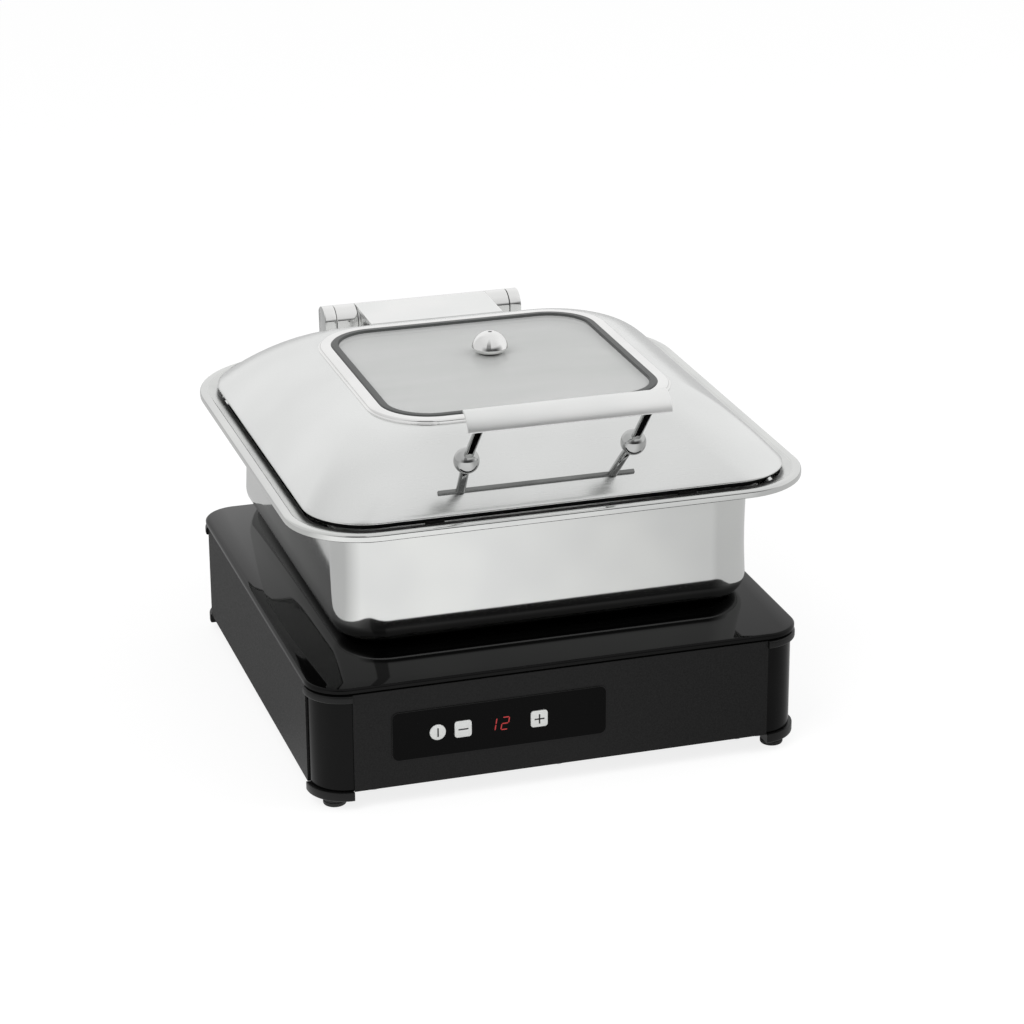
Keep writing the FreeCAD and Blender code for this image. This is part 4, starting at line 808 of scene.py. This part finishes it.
smoothed_copy("hinge_stand", "hinge_bracket", "dish", "steel_polished")
smoothed_copy("hinge_plate", "hinge_cover_plate", "lid", "steel_satin")
smoothed_copy("floor_screws", "pan_head_screws", "base", "screw_steel")
smoothed_copy("cable_gland", "gland_bushing", "base", "trim_black")

# %% [markdown]
# ## Keys and their marks
# Three light grey caps look out through the film: a round one to switch on, and square ones for less
# and more. Each is a short cap with a rounded face, and the mark is a thin print on it, kept as its
# own piece so that it moves with the key.

# %% Keys
KEY_Z = 52.8
KEY_FACE = 190.3
FRONT = Matrix.Rotation(math.radians(90.0), 4, "X")
# For each key: its place across the panel, half its width, its corner, and its mark's bars, each as
# half a length and half a width.
KEYS = {"power_key": (-94.8, 5.9, 5.88, [(0.55, 3.4)]),
        "minus_key": (-76.0, 6.3, 2.2, [(3.7, 0.55)]),
        "plus_key": (-19.2, 6.3, 2.2, [(3.7, 0.55), (0.55, 3.7)])}


def face_front(bm, x, z=KEY_Z):
    """Turn a piece that was made face up into the front panel's plane, at a place on it."""
    bmesh.ops.transform(bm, matrix=Matrix.Translation((x * MM, 0, z * MM)) @ FRONT, verts=bm.verts)


def key_cap(name, x, half, corner):
    """A key's cap: a rounded face, a straight side and a hidden back."""
    size = (half, half, corner, corner)
    bm = bmesh.new()
    rings = [ring(size, 0.2, KEY_FACE - 3.0), ring(size, 0.0, KEY_FACE - 2.8)]
    rings += bend(size, 0.6, KEY_FACE - 0.6, 0.6, 0, 90, 4)
    skin(bm, rings, (0, 0), fill_start=True, fill_end=True)
    face_front(bm, x)
    finish_piece(bm, name + "_cap", name, "key_grey", [name])


def key_mark(name, x, bars):
    """The printed mark on a key: one or two bars, a hair proud of the cap."""
    bm = bmesh.new()
    for half_x, half_y in bars:
        box_piece(bm, (-half_x, -half_y, KEY_FACE - 0.05), (half_x, half_y, KEY_FACE + 0.03), 0.02)
    face_front(bm, x)
    finish_piece(bm, name + "_mark", name, "key_grey", (), "print_black")


for name, (x, half, corner, _) in KEYS.items():
    key_cap(name, x, half, corner)
for name, (x, _, _, bars) in KEYS.items():
    key_mark(name, x, bars)

# %% [markdown]
# ## The digits
# Two seven-segment digits glow through the film. Each segment is a slim six-sided bar, and the whole
# digit leans a little, as display makers draw them.

# %% Digits
DIGIT_FACE = 189.6
DISPLAY_X = -46.1
SEGMENTS = {"a": (0, 1, 0), "b": (0.5, 0.5, 1), "c": (0.5, -0.5, 1), "d": (0, -1, 0), "e": (-0.5, -0.5, 1),
            "f": (-0.5, 0.5, 1), "g": (0, 0, 0)}
SLANT = 0.17


def segment(bm, x, y, upright, half_length, half_width):
    """One six-sided segment of a digit, lying face up."""
    long, wide = half_length, half_width
    corners = [(-long, 0), (-long + wide, -wide), (long - wide, -wide), (long, 0), (long - wide, wide),
               (-long + wide, wide)]
    points = []
    for u, v in corners:
        px, py = (x - v, y + u) if upright else (x + u, y + v)
        points.append(bm.verts.new(((px + SLANT * py) * MM, py * MM, DIGIT_FACE * MM)))
    pull_out(bm, [bm.faces.new(points)], (0, 0, -0.06))


def digit(bm, x, lit, height=9.4, width=5.0):
    """A digit from the letters of its lit segments."""
    for letter in lit:
        dx, dy, upright = SEGMENTS[letter]
        reach = height / 4 if upright else width / 2
        segment(bm, x + dx * width, dy * height / 2, upright, reach - 0.2, 0.42)


bm = bmesh.new()
digit(bm, -8.0, "bc")
digit(bm, 1.4, "abged")
face_front(bm, DISPLAY_X)
finish_piece(bm, "red_digits", "base", "display_dark", (), "led_red")

# %% [markdown]
# ## The film's edge
# The control film is a fraction of a millimetre thick, and its cut edge shows as a fine light line
# round the label. A thin raised ring stands for that edge.

# %% Film edge
FILM = (80.0, 18.75, 5.0, 5.0)
FILM_X, FILM_Z = -48.4, 52.95
FILM_BACK, FILM_FACE = 189.1, 189.58
bm = bmesh.new()
skin(bm, [ring(FILM, 0.0, FILM_BACK), ring(FILM, 0.0, FILM_FACE), ring(FILM, 0.35, FILM_FACE),
          ring(FILM, 0.45, FILM_BACK)], (0, 0), closed=True)
face_front(bm, FILM_X, FILM_Z)
finish_piece(bm, "film_edge", "base", "label_black", (), "trim_black")

# %% [markdown]
# ## Floor, light and camera
# The object stands on a plain white floor in a soft room. Polished steel has nothing to show but
# reflections, so the room itself is its lamp: a white backdrop behind and on the right, grey walls
# elsewhere, a doorway left of the middle, and a dark strip low down in front, where a studio has its
# dark side. Two large soft lamps give the shadows.

# %% Once round the studio
WHITE = (1.0, 1.0, 1.0, 1.0)


def around(tree, split, zones):
    """A level for each way out from the middle. A zone is (from, to, level), in degrees from the front
    by way of the left (90), the back (180) and the right (270). Between zones the level fades."""
    stops = [(edge / 360, level) for start, end, level in zones for edge in (start, end)]
    turned = add_node(tree, "ShaderNodeMath", {0: split.outputs["X"], 1: split.outputs["Y"]},
                      operation="ARCTAN2")
    share = add_node(tree, "ShaderNodeMapRange", {"Value": turned.outputs[0], "From Min": -math.pi,
                                                  "From Max": math.pi})
    ramp = add_node(tree, "ShaderNodeValToRGB", {"Fac": share.outputs["Result"]})
    places = ramp.color_ramp.elements
    for place, _ in stops[1:-1]:
        places.new(place)
    for element, (place, level) in zip(places, stops):
        element.position, element.color = place, (level, level, level, 1.0)
    return ramp


print("studio helper ready")

# %% Floor
FLOOR_GLOW = 0.82
# How much less than that glow polished metal sees, once round: nothing less at the front and left, and
# a good part less on the rest of the floor, so that the steel has a lit side and a shaded side.
FLOOR_SHADE = ((0, 55, 0.0), (85, 320, 0.42), (354, 360, 0.0))


def white_floor():
    """A white floor that shows as white to the camera and keeps a soft shadow."""
    bm = bmesh.new()
    bmesh.ops.create_grid(bm, x_segments=1, y_segments=1, size=30.0)
    mesh = bpy.data.meshes.new("floor")
    bm.to_mesh(mesh)
    bm.free()
    floor = bpy.data.objects.new("floor", mesh)
    bpy.context.scene.collection.objects.link(floor)
    material = bpy.data.materials.new("white_floor")
    material.use_nodes = True
    tree = material.node_tree
    tree.nodes.clear()
    rays = add_node(tree, "ShaderNodeLightPath")
    seen = add_node(tree, "ShaderNodeMath", {0: rays.outputs["Is Camera Ray"],
                                             1: rays.outputs["Is Glossy Ray"]}, operation="MAXIMUM")
    seen = add_node(tree, "ShaderNodeMath", {0: seen.outputs[0], 1: rays.outputs["Is Transmission Ray"]},
                    operation="MAXIMUM")
    matte = add_node(tree, "ShaderNodeBsdfDiffuse", {"Color": colour("#8E8E8E")})
    place = add_node(tree, "ShaderNodeTexCoord")
    split = add_node(tree, "ShaderNodeSeparateXYZ", {"Vector": place.outputs["Object"]})
    shade = around(tree, split, FLOOR_SHADE)
    dimmer = add_node(tree, "ShaderNodeMath", {0: shade.outputs["Color"], 1: rays.outputs["Is Glossy Ray"]},
                      operation="MULTIPLY")
    level = add_node(tree, "ShaderNodeMath", {0: FLOOR_GLOW, 1: dimmer.outputs[0]}, operation="SUBTRACT")
    glow = add_node(tree, "ShaderNodeEmission", {"Color": WHITE, "Strength": level.outputs[0]})
    both = add_node(tree, "ShaderNodeAddShader", {0: matte.outputs[0], 1: glow.outputs[0]})
    plain = add_node(tree, "ShaderNodeBsdfDiffuse", {"Color": colour("#E6E6E6")})
    mix = add_node(tree, "ShaderNodeMixShader", {0: seen.outputs[0], 1: plain.outputs[0], 2: both.outputs[0]})
    add_node(tree, "ShaderNodeOutputMaterial", {"Surface": mix.outputs[0]})
    mesh.materials.append(material)


white_floor()
print("floor laid, zones once round:", len(FLOOR_SHADE))

# %% World
# The walls, once round: the grey wall in front, the doorway, the grey wall on the left, the white
# backdrop behind and on the right, and the grey wall in front again.
WALLS = ((0, 8, 0.75), (11, 38, 0.3), (41, 140, 0.75), (160, 290, 0.95), (330, 360, 0.75))
CEILING, DARK_STRIP, ROOM_FILL = 0.86, 0.08, 0.55


def white_room():
    """White to the camera; a soft room to polished metal, and an even fill to everything else."""
    world = bpy.data.worlds.new("white_room")
    bpy.context.scene.world = world
    world.use_nodes = True
    tree = world.node_tree
    tree.nodes.clear()
    rays = add_node(tree, "ShaderNodeLightPath")
    way = add_node(tree, "ShaderNodeTexCoord")
    split = add_node(tree, "ShaderNodeSeparateXYZ", {"Vector": way.outputs["Generated"]})
    front = add_node(tree, "ShaderNodeMapRange", {"Value": split.outputs["Y"], "From Min": -0.9,
                                                  "From Max": -0.3, "To Min": 1.0, "To Max": 0.0})
    low = add_node(tree, "ShaderNodeMapRange", {"Value": split.outputs["Z"], "From Min": 0.3,
                                                "From Max": 0.5, "To Min": 1.0, "To Max": 0.0})
    dark = add_node(tree, "ShaderNodeMath", {0: front.outputs["Result"], 1: low.outputs["Result"]},
                    operation="MULTIPLY")
    walls = around(tree, split, WALLS)
    top = add_node(tree, "ShaderNodeMapRange", {"Value": split.outputs["Z"], "From Min": 0.6,
                                                "From Max": 1.0})
    high = add_node(tree, "ShaderNodeMapRange", {"Value": top.outputs["Result"],
                                                 "To Min": walls.outputs["Color"], "To Max": CEILING})
    level = add_node(tree, "ShaderNodeMapRange", {"Value": dark.outputs[0],
                                                  "To Min": high.outputs["Result"], "To Max": DARK_STRIP})
    soft = add_node(tree, "ShaderNodeBackground", {"Color": WHITE, "Strength": level.outputs["Result"]})
    fill = add_node(tree, "ShaderNodeBackground", {"Color": WHITE, "Strength": ROOM_FILL})
    white = add_node(tree, "ShaderNodeBackground", {"Color": WHITE, "Strength": 1.0})
    shiny = add_node(tree, "ShaderNodeMixShader", {0: rays.outputs["Is Glossy Ray"], 1: fill.outputs[0],
                                                   2: soft.outputs[0]})
    seen = add_node(tree, "ShaderNodeMath", {0: rays.outputs["Is Camera Ray"],
                                             1: rays.outputs["Is Transmission Ray"]}, operation="MAXIMUM")
    final = add_node(tree, "ShaderNodeMixShader", {0: seen.outputs[0], 1: shiny.outputs[0],
                                                   2: white.outputs[0]})
    add_node(tree, "ShaderNodeOutputWorld", {"Surface": final.outputs[0]})


white_room()
print("room lit, zones once round:", len(WALLS))

# %% Lamps
LAMP_SIZE = 1.6
LAMP_TARGET = Vector((0, 0, 0.1))


def soft_lamp(name, place, watts):
    """A large square lamp that looks at the object."""
    light = bpy.data.lights.new(name, "AREA")
    light.shape = "SQUARE"
    light.size = LAMP_SIZE
    light.energy = watts
    lamp = bpy.data.objects.new(name, light)
    bpy.context.scene.collection.objects.link(lamp)
    lamp.visible_glossy = False
    lamp.location = place
    lamp.rotation_euler = (LAMP_TARGET - Vector(place)).to_track_quat("-Z", "Y").to_euler()
    print(name, watts, "W")


soft_lamp("key_lamp", (-1.6, -1.2, 2.4), 26)
soft_lamp("fill_lamp", (1.9, -0.6, 1.8), 14)

# %% Camera
LENS_MM, SENSOR_MM = 112.271, 36.0
CAMERA_PLACE = (-0.649181, -2.175918, 1.010753)
# In degrees: turned to the right of straight ahead, tipped down from level, and rolled.
CAMERA_TURN, CAMERA_TIP, CAMERA_ROLL = 17.0863, 20.9864, -0.3701


def catalogue_camera():
    """A long lens from the front left, looking down about twenty degrees."""
    data = bpy.data.cameras.new("camera")
    data.sensor_width = SENSOR_MM
    data.lens = LENS_MM
    data.clip_end = 100.0
    camera = bpy.data.objects.new("camera", data)
    bpy.context.scene.collection.objects.link(camera)
    aim = (Matrix.Rotation(math.radians(-CAMERA_TURN), 4, "Z")
           @ Matrix.Rotation(math.radians(90.0 - CAMERA_TIP), 4, "X")
           @ Matrix.Rotation(math.radians(CAMERA_ROLL), 4, "Z"))
    camera.matrix_world = Matrix.Translation(CAMERA_PLACE) @ aim
    bpy.context.scene.camera = camera


catalogue_camera()
print("camera at", CAMERA_PLACE, "with a lens of", LENS_MM, "mm")
bpy.context.scene.view_settings.view_transform = "Standard"
